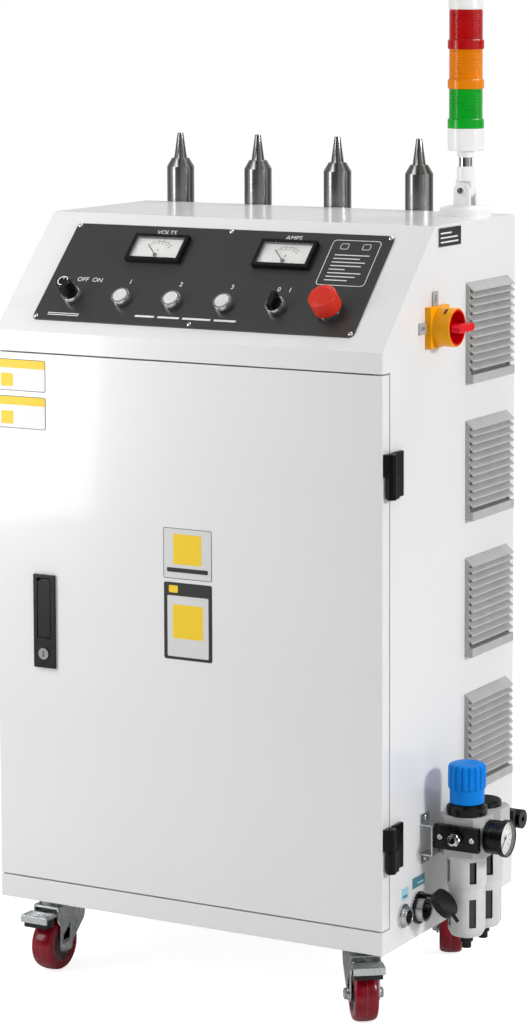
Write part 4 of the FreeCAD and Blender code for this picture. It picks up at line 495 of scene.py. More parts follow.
def letters(text, height, matrix, deep=0.15):
    """A mesh of plain generic lettering, centred on its place."""
    curve = bpy.data.curves.new("letters", "FONT")
    curve.body = text
    curve.size = height * 1.4
    curve.extrude = deep / 2
    curve.align_x = "CENTER"
    curve.align_y = "CENTER"
    curve.resolution_u = 3
    mesh = baked(linked("letters", curve))
    mesh.transform(matrix @ Matrix.Translation((0, 0, deep / 2)))
    return mesh


# Repeated forms in Geometry Nodes

class Recipe(Net):
    """A geometry node tree with named inputs."""

    def __init__(self, name, **inputs):
        super().__init__(bpy.data.node_groups.new(name, "GeometryNodeTree"))
        face = self.tree.interface
        face.new_socket("Geometry", in_out="INPUT", socket_type="NodeSocketGeometry")
        for label, kind in inputs.items():
            face.new_socket(label, in_out="INPUT", socket_type="NodeSocket" + kind)
        face.new_socket("Finish", in_out="INPUT", socket_type="NodeSocketMaterial")
        face.new_socket("Geometry", in_out="OUTPUT", socket_type="NodeSocketGeometry")
        self.given = self.add("NodeGroupInput").outputs

    def close(self, geometry):
        """Finish the tree: real geometry in the given finish."""
        real = self.add("GeometryNodeRealizeInstances", {"Geometry": geometry})
        dressed = self.add("GeometryNodeSetMaterial", {"Geometry": real.outputs[0], "Material": self.given["Finish"]})
        self.add("NodeGroupOutput", {"Geometry": dressed.outputs[0]})
        return self.tree

    def math(self, operation, a, b):
        """One sum on two values."""
        node = self.add("ShaderNodeMath", operation=operation)
        self.feed(node.inputs[0], a)
        self.feed(node.inputs[1], b)
        return node.outputs[0]


def scatter_recipe():
    """Stand a copy of one form on every spot, along the spot's own direction."""
    recipe = Recipe("form_on_each_spot", Form="Object", Size="Float")
    form = recipe.add("GeometryNodeObjectInfo", {"Object": recipe.given["Form"]})
    facing = recipe.add("GeometryNodeInputNamedAttribute", {"Name": "facing"}, data_type="FLOAT_VECTOR")
    turn = recipe.add("FunctionNodeAlignRotationToVector", {"Vector": facing.outputs[0]}, axis="Z")
    size = recipe.add("ShaderNodeCombineXYZ", {k: recipe.given["Size"] for k in "XYZ"})
    copies = recipe.add(
        "GeometryNodeInstanceOnPoints",
        {
            "Points": recipe.given["Geometry"],
            "Instance": form.outputs["Geometry"],
            "Rotation": turn.outputs[0],
            "Scale": size.outputs[0],
        },
    )
    return recipe.close(copies.outputs[0])


def marks_recipe():
    """Bars round an arc, such as the marks of a dial."""
    recipe = Recipe(
        "marks_round_an_arc",
        Count="Int", Start="Float", Sweep="Float", Radius="Float", Length="Float", Width="Float", Depth="Float",
    )
    given = recipe.given
    spots = recipe.add("GeometryNodeMeshLine", {"Count": given["Count"], "Offset": (0, 0, 0)})
    size = recipe.add("ShaderNodeCombineXYZ", {"X": given["Length"], "Y": given["Width"], "Z": given["Depth"]})
    bar = recipe.add("GeometryNodeMeshCube", {"Size": size.outputs[0]})
    shift = recipe.add("ShaderNodeCombineXYZ", {"X": given["Radius"]})
    moved = recipe.add("GeometryNodeTransform", {"Geometry": bar.outputs[0], "Translation": shift.outputs[0]})
    index = recipe.add("GeometryNodeInputIndex").outputs[0]
    share = recipe.math("DIVIDE", index, recipe.math("SUBTRACT", given["Count"], 1.0))
    angle = recipe.math("ADD", given["Start"], recipe.math("MULTIPLY", given["Sweep"], share))
    turn = recipe.add("ShaderNodeCombineXYZ", {"Z": angle})
    copies = recipe.add(
        "GeometryNodeInstanceOnPoints",
        {"Points": spots.outputs[0], "Instance": moved.outputs[0], "Rotation": turn.outputs[0]},
    )
    return recipe.close(copies.outputs[0])


def rings_recipe():
    """Round rings at an even pitch, such as a thread."""
    recipe = Recipe("rings_at_a_pitch", Count="Int", Pitch="Float", Radius="Float", Wire="Float")
    given = recipe.given
    step = recipe.add("ShaderNodeCombineXYZ", {"Z": given["Pitch"]})
    spots = recipe.add("GeometryNodeMeshLine", {"Count": given["Count"], "Offset": step.outputs[0]})
    path = recipe.add("GeometryNodeCurvePrimitiveCircle", {"Resolution": 56, "Radius": given["Radius"]})
    wire = recipe.add("GeometryNodeCurvePrimitiveCircle", {"Resolution": 6, "Radius": given["Wire"]})
    ring = recipe.add("GeometryNodeCurveToMesh", {"Curve": path.outputs[0], "Profile Curve": wire.outputs[0]})
    copies = recipe.add("GeometryNodeInstanceOnPoints", {"Points": spots.outputs[0], "Instance": ring.outputs[0]})
    return recipe.close(copies.outputs[0])


form_on_spots = scatter_recipe()
marks_round_arc = marks_recipe()
rings_at_pitch = rings_recipe()


def cooked(tree, finish, mesh=None, **inputs):
    """Run a recipe once and return its plain mesh."""
    shape = linked("cooked", mesh or bpy.data.meshes.new("spots"))
    modifier = shape.modifiers.new("recipe", "NODES")
    modifier.node_group = tree
    sockets = {s.name: s.identifier for s in tree.interface.items_tree if s.in_out == "INPUT"}
    for key, value in inputs.items():
        modifier[sockets[key]] = value
    modifier[sockets["Finish"]] = finish.material
    return baked(shape)


def in_place(mesh, matrix):
    """A mesh moved from local millimetres to its place."""
    mesh.transform(matrix)
    return mesh


def marks(matrix, finish, count, start, sweep, radius, length, width, deep):
    """Dial marks in place, angles in degrees."""
    mesh = cooked(
        marks_round_arc, finish,
        Count=count, Start=math.radians(start), Sweep=math.radians(sweep),
        Radius=radius, Length=length, Width=width, Depth=deep,
    )
    return in_place(mesh, matrix)


def rings(matrix, finish, count, pitch, radius, wire):
    """Rings in place."""
    mesh = cooked(rings_at_pitch, finish, Count=count, Pitch=pitch, Radius=radius, Wire=wire)
    return in_place(mesh, matrix)


def work_form(name, work):
    """A form kept out of the view, for a recipe to copy."""
    mesh = mesh_of(work, Matrix.Scale(MM, 4), name)
    for polygon in mesh.polygons:
        polygon.use_smooth = True
    return bpy.data.objects.new(name, mesh)


def cross_head():
    """A pan head screw with a cross recess, 1 mm in radius."""
    work = lathe([(0, 0.62), (0.42, 0.6), (0.78, 0.45), (0.96, 0.22), (1, 0.0), (1, -0.1), (0, -0.1)], 20)
    for turn in (0, 90):
        bar = slab(rounded(0.95, 0.2, 0.05, 1), 0.3, 0.66)
        bmesh.ops.rotate(bar, verts=bar.verts, matrix=Matrix.Rotation(math.radians(turn), 3, "Z"))
        work.from_mesh(plain_mesh(bar, "bar"))
    return work


def socket_head():
    """A socket head screw with a ring and a dark well, 1 mm in radius."""
    profile = [(0.0, 0.1), (0.42, 0.1), (0.46, 0.5), (0.86, 0.5), (1.0, 0.4), (1.0, -0.1), (0.0, -0.1)]
    return lathe(profile, 20)


def hex_head():
    """A hexagon bolt head with a washer face, 1 mm in radius."""
    work = lathe([(0, 0.72), (0.78, 0.72), (1.0, 0.6), (1.0, 0.1), (0, 0.1)], 6)
    washer = lathe([(0, 0.12), (1.12, 0.12), (1.18, 0.0), (1.18, -0.1), (0, -0.1)], 20)
    work.from_mesh(plain_mesh(washer, "washer"))
    return work


screw_forms = {
    "cross": work_form("cross_head", cross_head()),
    "socket": work_form("socket_head", socket_head()),
    "hex": work_form("hex_head", hex_head()),
}


def screws(name, kind, radius, spots, finish, body):
    """Screw heads on spots of faces: each spot is (place, direction)."""
    mesh = bpy.data.meshes.new("spots")
    mesh.from_pydata([place for place, _ in spots], [], [])
    facing = mesh.attributes.new("facing", "FLOAT_VECTOR", "POINT")
    for item, (_, direction) in zip(facing.data, spots):
        item.vector = direction
    heads = cooked(form_on_spots, finish, mesh, Form=screw_forms[kind], Size=radius)
    return place_mesh(name, heads, finish, body)


# The cabinet and its plain nodes

for node, *look in (
    ("cabinet_shell", 1.4, white),
    ("door_panel", 1.6, white),
    ("rear_panel", 0.5, white),
    ("control_plate", 0.5, plate_black),
    ("hinge_body_leaves", 1.0, hinge_black),
    ("hinge_door_leaves", 1.0, hinge_black),
    ("meter_cases", 0.9, frame_black),
    ("switch_rings", 0.6, chrome),
    ("isolator_plate", 1.2, iso_yellow),
    ("louvre_grilles", 0.4, louvre_grey),
    ("air_bodies", 1.2, air_grey),
    ("bowl_guards", 0.7, guard_grey),
    ("bowl_drains", 0.6, air_black),
    ("air_brackets", 0.4, zinc),
    ("socket_shells", 0.4, socket_metal),
    ("dust_cap", 1.6, rubber, 3),
    ("gun_rack", 0.4, rack_paint),
    ("caster_plates", 0.5, zinc),
    ("lock_housing", 0.8, lock_black),
    ("lock_handle", 1.2, lock_black),
    ("selector_knob", 0.8, knob_black),
    ("power_knob", 0.9, knob_black),
    ("tower_cap", 1.2, tower_white),
):
    softened(node, *look)
for number in (1, 2, 3):
    softened("push_button_%d" % number, 1.0, button_white)
corners = [a + "_" + b for a in ("front", "back") for b in ("left", "right")]
for corner in corners:
    softened("fork_" + corner, 0.6, zinc)
for corner in corners[:2]:
    softened("pedal_" + corner, 0.7, zinc)

for node, finish in (
    ("tower_foot", tower_white),
    ("air_trim", air_black),
    ("power_units", unit_grey),
    ("contact_blocks", block_grey),
    ("instrument_dials", dial_card),
    ("instrument_windows", window),
    # the bowls take the near-black painted shade of the guards' insides
    ("bowls", bowl_shade_dark),
    ("socket_inserts", air_black),
    ("lock_barrel", chrome),
    ("voltmeter_needle", needle_paint),
    ("ammeter_needle", needle_paint),
    ("gauge_needle", needle_paint),
):
    coat(node, finish)


# Turned pieces

def turned_look(node, profile, matrix, finish, closed=False):
    """A smoother turned form in place of a node's own."""
    mesh = mesh_of(lathe(profile, 96, closed=closed), matrix)
    return place_mesh(node + "_turned", mesh, finish, frame_body(node), [node], 24)


def gun(number):
    """A steel barrel with its shoulder, nozzle and gland."""
    node = "gun_%d" % number
    low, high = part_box(node)
    middle = (low + high) / 2
    r = (high.x - low.x) / MM / 2
    gland_end, barrel_end, barrel_top, shoulder_top, tip = -138, -110, 51, 63, 100
    gland = [(0, gland_end), (8.6, gland_end), (9, gland_end + 0.4), (9, barrel_end)]
    barrel = [(r - 0.6, barrel_end), (r, barrel_end + 0.6), (r, barrel_top - 0.6), (r - 0.3, barrel_top)]
    shoulder = [(12.8, shoulder_top - 0.2), (12.4, shoulder_top), (9.7, shoulder_top), (9.4, shoulder_top + 0.5)]
    nozzle = [(4.3, tip - 0.5), (3.8, tip), (1.9, tip), (1.6, tip - 0.3), (1.6, tip - 20), (0, tip - 21)]
    at = upright((middle.x, middle.y, shell_high.z))
    turned_look(node, gland + barrel + shoulder + nozzle, at, gun_steel)


def estop():
    """The red mushroom button: its stem, hollow skirt and rounded crown."""
    stem = [(0, -12), (4, -12), (4, -2), (10.2, -2), (10.2, 16)]
    skirt = [(16.5, 16), (16.5, 8.5), (19.2, 8.5), (19.5, 8.8), (19.5, 29.6)]
    crown = arc(17.1, 29.6, 2.4, 0, 80, 5)[1:] + [(14.5, 32.4), (13.6, 32.9), (8, 33), (0, 33)]
    turned_look("estop_button", stem + skirt + crown, panel.at(200), stop_red)


def gauge_case():
    """The gauge's stem and round case, with a bezel round its open front."""
    stem = [(1.3, -7.2), (5, -7.2), (5, 0)]
    case = [(21.6, 0), (22.6, 1.0), (22.8, 9.6), (22.4, 10), (22.4, 11), (22.8, 11.4), (22.8, 20.6)]
    bezel = [(24.0, 21.4), (25, 22.6), (25, 28.2), (24.3, 29), (22.9, 29), (22.5, 28.4), (22.5, 22), (1.3, 22)]
    turned_look("gauge_case", stem + case + bezel, side.at(-53, 137.5, 84), air_black, True)


for number in (1, 2, 3, 4):
    gun(number)
estop()
gauge_case()


# Isolator

isolator_x, isolator_up = -51, 817.5


def isolator_dish():
    """The red dish that covers the ring's end, with its grip."""
    at = side.at(isolator_x, isolator_up)
    shaft = [(0, -20), (5, -20), (5, 10)]
    wall = [(21.9, 12), (21.9, 34.05), (23.9, 34.05), (24.1, 34.3), (23.9, 34.6), (23.0, 34.6), (22.4, 34.0)]
    well = [(20.8, 17), (19.6, 15.6), (0, 15)]
    dish = mesh_of(lathe(shaft + wall + well, 96), at)
    place_mesh("isolator_dish", dish, iso_red, "isolator_handle", ["isolator_handle"], 28)
    grip = [mesh_of(slab(rounded(36, 10, 4), 14.5, 38, 0.3), at), mesh_of(slab(rounded(46, 11, 5), 36, 49, 1.4), at)]
    place_mesh("isolator_grip", merged(grip), iso_red, "isolator_handle", (), 40)


def isolator_tabs():
    """Grey label tabs above and beside the plate, and a thin patch of darker red as painted shade for the slot in the
    ring.
    """
    narrow, wide, top = 15.4, 19.3, 2.3
    above = (isolator_x, isolator_up + 37, narrow, wide, "ON", 90)
    beside = (isolator_x - 37.5, isolator_up, wide, narrow, "OFF", 0)
    tabs = []
    lettering = []
    for x, up, w, l, text, turn in (above, beside):
        tabs.append(mesh_of(slab(rounded(w, l, 1.5, 2), 0.02, top, 0.15), side.at(x, up)))
        lettering.append(letters(text, 4.6, side.at(x, up, top - 0.02, turn)))
    place_mesh("isolator_tabs", merged(tabs), tab_grey, "cabinet")
    place_mesh("isolator_marks", merged(lettering), needle_paint, "cabinet")
    slot_turn, slot_out, ring_r = math.radians(58), 24, 26
    c, s = math.cos(slot_turn), math.sin(slot_turn)
    spot = side.spot(isolator_x, isolator_up, slot_out) + ring_r * MM * Vector((0, -c, s))
    # The slot is no recess: a thin patch in the darker red gives its painted shade.
    slot = slab(rounded(10, 4.2, 1.2, 2), -0.3, 0.35, 0.1)
    place_mesh("isolator_slot", mesh_of(slot, Face(spot, (0, -s, -c), (1, 0, 0)).at()), slot_shade_red, "cabinet")


isolator_dish()
isolator_tabs()


# Grilles, pads and air fittings

mat_w, mat_l, mat_y = 123.4, 120.4, 110
lowest_mat, mat_pitch = 237.5, 188.5
mats = []
for number in range(4):
    mat = slab(rounded(mat_w, mat_l, 1.0, 2), 0.4, 1.2)
    mats.append(mesh_of(mat, side.at(mat_y, lowest_mat + mat_pitch * number)))
place_mesh("filter_mats", merged(mats), mat_grey, "cabinet")


def pedal_pads(corner):
    """The black pad below a brake pedal's tread, and the ridges on top."""
    turn = joint("brake_" + corner)
    axis = Vector(turn["axis"])
    tread = Face(turn["pos_m"], (axis.y, -axis.x, 0), axis)
    pad_x, first_ridge, ridge_pitch = 44.5, 36, 5
    pad = slab(rounded(20, 38, 2.5, 3), -13.0, -0.02, 0.8)
    place_mesh("pedal_pad_" + corner, mesh_of(pad, tread.at(pad_x)), pad_black, "pedal_" + corner)
    ridges = []
    for k in range(4):
        ridge = slab(rounded(1.6, 36, 0.7, 2), 3.9, 4.6, 0.3)
        ridges.append(mesh_of(ridge, tread.at(first_ridge + ridge_pitch * k)))
    place_mesh("pedal_ridges_" + corner, merged(ridges), zinc, "pedal_" + corner)


for corner in corners[:2]:
    pedal_pads(corner)


def air_fittings():
    """The inlet's fitting, the screws of the air unit and the disc on its filter."""
    unit_x, inlet_y, inlet_z, filter_y = 0.3515, -0.0865, 0.2415, -0.002
    inlet = Face((unit_x, inlet_y, inlet_z), (1, 0, 0), (0, 0, 1))
    plate_spots = [(inlet.spot(x, 0), inlet.out) for x in (-23.5, 23.5)]
    screws("end_plate_screws", "socket", 3.7, plate_spots, chrome, "cabinet")
    bore, step = 4.4, 5
    hexagon = [(bore, 0), (8.8, 0), (9.2, 0.6), (9.2, 4.4), (8.8, step), (bore, step)]
    collar = [(bore, step), (7.2, step), (7.2, 9.4), (6.6, 10), (bore, 10)]
    fitting = []
    for form, sides in ((hexagon, 6), (collar, 48)):
        fitting.append(mesh_of(lathe(form, sides, closed=True), inlet.at(0, 0, 3)))
    place_mesh("inlet_fitting", merged(fitting), chrome, "cabinet")
    bracket_spots = [(side.spot(-79, up, 2), side.out) for up in (158.5, 103.5)]
    screws("bracket_screws", "cross", 3.8, bracket_spots, chrome, "cabinet")
    head_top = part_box("air_bodies")[1].z
    disc = lathe([(0, -1), (18.4, -1), (18.4, 0.5), (17.9, 1.0), (15.5, 1.0), (15.0, 0.5), (0, 0.5)], 72)
    place_mesh("filter_disc", mesh_of(disc, upright((unit_x, filter_y, head_top))), air_black, "cabinet")


air_fittings()


# Signal tower

pivot = Vector(joint("tower_fold")["pos_m"])
tower_at = upright((pivot.x, pivot.y, shell_high.z))
sleeve = lathe([(8.6, 67.3), (9.25, 67.3), (9.25, 79.8), (8.6, 79.8)], 48, closed=True)
place_mesh("tower_pole_sleeve", mesh_of(sleeve, tower_at), chrome, "tower")
hub = lathe([(7.2, 8.5), (34.2, 8.5), (33.4, 10.2), (30, 11.8), (22, 13.2), (7.2, 13.6)], 72, closed=True)
place_mesh("tower_foot_hub", mesh_of(hub, tower_at), tower_white, "cabinet")
pivot_screw = [(Vector((pivot.x, pivot.y - 0.016, pivot.z)), Vector((0, -1, 0)))]
screws("tower_pivot_screw", "socket", 4.6, pivot_screw, chrome, "cabinet")


def tower_lens(node, finish):
    """A ribbed lens with its flange ring, turned to the node's own size."""
    low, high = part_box(node)
    middle = (low + high) / 2
    height = (high.z - low.z) / MM
    r = (high.x - low.x) / MM / 2
    flange, wall = 13.0, 2.0
    glass_r = r - 1.6
    root_r = glass_r - 0.6
    profile = [(r - 1.0, 0), (r, 0.8), (r, flange - 0.8), (r - 0.8, flange)]
    ribs = 17
    pitch = (height - flange - 3.0) / ribs
    for k in range(ribs):
        z = flange + 1.5 + k * pitch
        profile += [(root_r, z), (glass_r, z + 0.3 * pitch), (glass_r, z + 0.6 * pitch), (root_r, z + 0.9 * pitch)]
    profile += [(root_r, height), (glass_r - wall, height), (glass_r - wall, 0)]
    matrix = upright((middle.x, middle.y, low.z))
    place_mesh(node + "_ribbed", mesh_of(lathe(profile, 72, closed=True), matrix), finish, "tower", [node])
    count = 24
    teeth = []
    for k in range(count):
        tooth = slab(rounded(0.8, 1.6, 0.3, 2), 1.2, flange - 1.6, 0.2)
        turn = Matrix.Rotation(math.radians(360 / count * k), 4, "Z") @ Matrix.Translation((r - 0.2, 0, 0))
        teeth.append(mesh_of(tooth, matrix @ turn))
    place_mesh(node + "_flange_ribs", merged(teeth), finish, "tower")


for node, finish in (("lens_green", lens_green), ("lens_amber", lens_amber), ("lens_red", lens_red)):
    tower_lens(node, finish)


# Regulator knob

def regulator_knob():
    """The blue knob with grooves round its upper part."""
    low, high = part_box("regulator_knob")
    spot = joint("regulator_turn")["pos_m"]
    top = (high.z - spot[2]) / MM
    bottom = (low.z - spot[2]) / MM
    r = (high.x - low.x) / MM / 2
    skirt_r, spigot_r = 23.3, 11.0
    skirt_low = bottom + 10.0
    skirt_high = top - 34.0
    grooves, deep = 18, 2.3
    spigot = [(0, bottom), (spigot_r, bottom), (spigot_r, skirt_low)]
    skirt = [(skirt_r - 1.2, skirt_low), (skirt_r, skirt_low + 1.2), (skirt_r, skirt_high - 1.0)]
    grip = [(r - 0.6, skirt_high + 0.6), (r, skirt_high + 2.0), (r, top - 5.5), (r - 0.8, top - 3.4)]
    crown = [(r - 2.6, top - 1.6), (r - 5.5, top - 0.5), (r - 9.0, top), (0, top)]
    grooved = range(7, 10)

    def reach(radius, angle, index):
        if index not in grooved:
            return radius
        wave = math.cos(grooves * angle)
        return radius - deep * max(0.0, (wave - 0.1) / 0.9) ** 0.6

    mesh = mesh_of(lathe(spigot + skirt + grip + crown, 240, reach), upright(spot))
    place_mesh("regulator_knob_grooved", mesh, regulator_blue, "regulator_knob", ["regulator_knob"], 40)


regulator_knob()


# Wheels

def wheel(corner):
    """A cast tyre on its core, with a sealed bearing each side."""
    turn = joint("roll_" + corner)
    low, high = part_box("wheel_" + corner)
    r = (high.z - low.z) / MM / 2
    half = 16.0
    core_r = 22.5
    hub_r, hub_half = 10.0, 17.2
    body = "wheel_" + corner
    matrix = axis_matrix(turn["pos_m"], turn["axis"])
    crown = [(r - 0.15, 2.0), (r - 0.3, 6.0), (r - 0.8, 10.0), (r - 1.7, 13.0), (r - 3.2, 15.2), (r - 5.2, half)]
    tread = [(w, -z) for w, z in reversed(crown)] + crown
    ring = tread + [(core_r + 1.2, half), (core_r, half - 0.8), (core_r, -half + 0.8), (core_r + 1.2, -half)]
    tyre = mesh_of(lathe(ring, 96, closed=True), matrix)
    place_mesh("tyre_" + corner, tyre, tyre_red, body, ["wheel_" + corner], 40)
    seam = rings(matrix, seam_pale, 1, 1.0, r - 0.42, 0.4)
    place_mesh("tyre_seam_" + corner, seam, seam_pale, body)
    rim = [(core_r + 0.1, half - 1.6), (core_r - 1.6, half - 1.0), (core_r - 3.0, half - 1.4)]
    web = [(core_r - 3.8, half - 3.2), (hub_r + 3.2, half - 3.6)]
    boss = [(hub_r + 1.6, half - 1.8), (hub_r, hub_half - 0.5), (hub_r - 0.6, hub_half), (4.3, hub_half)]
    core = rim + web + boss
    core += [(w, -z) for w, z in reversed(core)]
    place_mesh("core_" + corner, mesh_of(lathe(core, 72, closed=True), matrix), wheel_core, body, (), 28)
    seal = [(4.4, 0), (8.6, 0), (8.8, -0.6), (8.8, -1.6), (4.4, -1.6)]
    seals = []
    for sign in (1, -1):
        there = matrix @ Matrix.Translation((0, 0, sign * (hub_half + 0.25)))
        if sign < 0:
            there = there @ Matrix.Rotation(math.pi, 4, "X")
        seals.append(mesh_of(lathe(seal, 40, closed=True), there))
    place_mesh("bearing_seals_" + corner, merged(seals), zinc, body)


for corner in corners:
    wheel(corner)


# Threads of the sockets

threads = [
    rings(side.at(-98, 40, 7.2), socket_metal, 7, 1.1, 17.0, 0.36),
    rings(side.at(-141, 40, 6.7), socket_metal, 3, 1.1, 12.0, 0.36),
]
place_mesh("socket_threads", merged(threads), socket_metal, "cabinet")


# Casters: nuts on the axles and bolts through the plates

def axle_nuts(corner):
    """A hexagon nut over each end of the axle."""
    turn = joint("roll_" + corner)
    axis = Vector(turn["axis"])
    spots = []
    for sign in (1, -1):
        spots.append((Vector(turn["pos_m"]) + sign * axis * 21.2 * MM, sign * axis))
    screws("axle_nuts_" + corner, "hex", 7.6, spots, zinc, "fork_" + corner)


plate_bolts = []
for corner in corners:
    axle_nuts(corner)
    pivot = Vector(joint("swivel_" + corner)["pos_m"])
    for sx in (-1, 1):
        for sy in (-1, 1):
            spot = Vector((pivot.x + sx * 27 * MM, pivot.y + sy * 27 * MM, underside - 3.5 * MM))
            plate_bolts.append((spot, Vector((0, 0, -1))))
screws("caster_bolts", "hex", 5.2, plate_bolts, zinc, "cabinet")


# Control panel: screws and print

row_up = 62.5
plate_screws = [(panel.spot(x, up - row_up, 0), panel.out) for x in (-244, 0, 244) for up in (26.5, 190)]
screws("plate_screws", "cross", 3.4, plate_screws, chrome, "cabinet")

print_up = 0.0
print_deep = 0.12


def bar(x, up, w, l, slant=0.0):
    """One plain printed bar on the control plate."""
    work = slab(rounded(w, l, min(w, l) * 0.3, 2), print_up, print_up + print_deep)
    skew = Matrix.Identity(4)
    skew[0][1] = slant
    return mesh_of(work, panel.at(x, up - row_up) @ skew)


def words(x, up, height, widths, gap):
    """A line of plain bars in place of words."""
    total = sum(widths) + gap * (len(widths) - 1)
    start = x - total / 2
    line = []
    for w in widths:
        line.append(bar(start + w / 2, up, w, height, 0.2))
        start += w + gap
    return line


def panel_print():
    """White print on the control plate: plain bars, numbers and a boxed note."""
    parts = []
    parts += words(-10, 36, 3.2, [30, 34, 44, 34], 5)
    for up in (30.5, 33.5):
        parts += words(-202, up, 1.3, [50], 3)
    for x, text in ((-186, "OFF  ON"), (-120, "1"), (-40, "2"), (40, "3"), (120, "0    1")):
        parts.append(letters(text, 7.5, panel.at(x, 94 - row_up)))
    for x, text in ((-100, "VOLTS"), (100, "AMPS")):
        parts.append(letters(text, 7.5, panel.at(x, 183.5 - row_up)))
    note_x, note_top, line_pitch = 197.5, 158, 6.2
    box = loop_strip(73, 78.5, 6, 0.9, print_up, print_up + print_deep)
    parts.append(mesh_of(box, panel.at(note_x, 144.75 - row_up)))
    for k, (w, shift) in enumerate(((52, 0), (40, -6), (50, -1), (46, -3), (24, -14), (50, -1), (44, -4), (34, -9))):
        parts.append(bar(note_x + shift, note_top - line_pitch * k, w, 1.5))
    for x in (181, 214):
        sign = loop_strip(12, 10, 2, 0.8, print_up, print_up + print_deep)
        parts.append(mesh_of(sign, panel.at(x, 173 - row_up)))
    place_mesh("panel_print", merged(parts), ink, "cabinet")


panel_print()


def knob_pointer():
    """White curved mark and dot on the power knob, over its top."""
    spot = Vector(joint("power_knob_turn")["pos_m"])
    top = max((v.co - spot).dot(panel.out) for v in frame["nodes"]["power_knob"].data.vertices) / MM
    at = panel.at(-200, 0, top)
    parts = [marks(at, ink, 15, 20, 250, 7.2, 1.6, 2.2, 0.3)]
    parts.append(marks(at, ink, 2, 90, 1, 4.2, 3.4, 1.4, 0.3))
    place_mesh("power_knob_mark", merged(parts), ink, "power_knob")


knob_pointer()


# Dials

def dial_level(face, x, up, near):
    """Height of the dial's card above a face, in millimetres."""
    spot = face.spot(x, up)
    highest = []
    for vertex in frame["nodes"]["instrument_dials"].data.vertices:
        away = vertex.co - spot
        if abs(away.dot(face.right)) < near * MM and abs(away.dot(face.up)) < near * MM:
            highest.append(away.dot(face.out) / MM)
    return max(highest)


def meter_scale(name, x, text):
    """Scale, numbers and letter on one meter dial."""
    pivot = Vector(joint(name + "_swing")["pos_m"])
    up = (pivot - panel.origin).dot(panel.up) / MM
    at = panel.at(x, up, dial_level(panel, x, up, 45))
    parts = [
        marks(at, needle_paint, 41, 45, 90, 24.6, 0.5, 1.1, 0.1),
        marks(at, needle_paint, 6, 45, 90, 26.2, 3.2, 0.5, 0.12),
        marks(at, needle_paint, 26, 45, 90, 25.4, 1.7, 0.25, 0.12),
    ]
    for k in range(6):
        angle = math.radians(135 - 18 * k)
        there = at @ Matrix.Translation((21.2 * math.cos(angle), 21.2 * math.sin(angle), 0))
        parts.append(letters(str(10 * k), 2.3, there, 0.1))
    parts.append(letters(text, 4.2, at @ Matrix.Translation((0, 9.5, 0)), 0.1))
    place_mesh(name + "_scale", merged(parts), needle_paint, "cabinet")


meter_scale("voltmeter", -100, "V")
meter_scale("ammeter", 100, "A")


# Gauge dial

def gauge_scale():
    """Scale and numbers on the pressure gauge."""
    turn = joint("gauge_swing")
    spot = Vector(turn["pos_m"])
    face = Face(spot, (0, 1, 0), (0, 0, 1))
    at = face.at(0, 0, dial_level(face, 0, 0, 30))
    parts = [
        marks(at, needle_paint, 11, 225, -270, 17.4, 3.0, 0.7, 0.1),
        marks(at, needle_paint, 51, 225, -270, 18.2, 1.4, 0.28, 0.1),
    ]
    for k in range(6):
        angle = math.radians(225 - 54 * k)
        there = at @ Matrix.Translation((13.2 * math.cos(angle), 13.2 * math.sin(angle), 0))
        parts.append(letters(str(2 * k), 3.2, there, 0.1))
    place_mesh("gauge_scale", merged(parts), needle_paint, "cabinet")


gauge_scale()


# Plain plates on the door and the side

plate_t, bite, layer = 0.35, 0.05, 0.06


def plate_set(name, face, x0, x1, low, high, body, base, parts, border, corner=2.5):
    """A thin bare plate with plain blocks of colour on it."""
    w, l = x1 - x0, high - low
    x, up = (x0 + x1) / 2, (low + high) / 2
    place_mesh(name, mesh_of(slab(rounded(w, l, corner), 0, plate_t, 0.1), face.at(x, up)), base, body)
    for number, (finish, px0, px1, plow, phigh) in enumerate(parts, 1):
        corner_r = min(1.8, (phigh - plow) / 3)
        outline = rounded(px1 - px0, phigh - plow, corner_r)
        block = slab(outline, plate_t - bite, plate_t + layer + layer * number)
        at = face.at((px0 + px1) / 2, (plow + phigh) / 2)
        place_mesh("%s_block_%d" % (name, number), mesh_of(block, at), finish, body)
    if border:
        finish, line_w = border
        line = loop_strip(w - 0.4, l - 0.4, corner, line_w, plate_t - bite, plate_t + layer * (len(parts) + 2))
        place_mesh(name + "_border", mesh_of(line, face.at(x, up)), finish, body)


plate_set(
    "door_plate_upper", front, -31.5, 44, 475, 544, "door", label_grey,
    [(label_yellow, -16, 28, 495, 536), (label_black, -26, 38, 484, 490)], (label_black, 0.6),
)
plate_set(
    "door_plate_lower", front, -31, 44, 365, 470, "door", label_black,
    [(label_grey, -25.5, 38.5, 369, 452), (label_yellow, -17, 30, 394, 440), (label_yellow, -23, -9, 456, 466)],
    None, 3,
)
for number, (low, high) in enumerate(((714, 758), (662, 707)), 1):
    plate_set(
        "corner_plate_%d" % number, front, -295, -218, low, high, "door", label_white,
        [(label_yellow, -294.5, -218.5, high - 12.5, high - 0.5), (label_yellow, -291, -271, low + 6, low + 24)],
        (label_black, 0.8),
    )
plate_set(
    "side_plate", side, -40, 29, 920.5, 947, "cabinet", label_black,
    [(ink, -33, 0, 938, 940), (ink, -33, 18, 932, 934), (ink, -33, 20, 926, 928)], (ink, 0.5), 1.5,
)
for name, x0, x1, low, high, base, blocks in (
    ("blue_plate_small", -144, -125, 60, 76, label_blue, [(label_teal, -141, -128, 63, 66)]),
    ("teal_plate", -113, -77, 68, 82.5, label_teal, [(label_blue, -98, -80, 72, 74.5)]),
    ("blue_plate_rear", 122, 147, 106, 121, label_blue, []),
):
    plate_set(name, side, x0, x1, low, high, "cabinet", base, blocks, None, 1)


# Screws on the outside

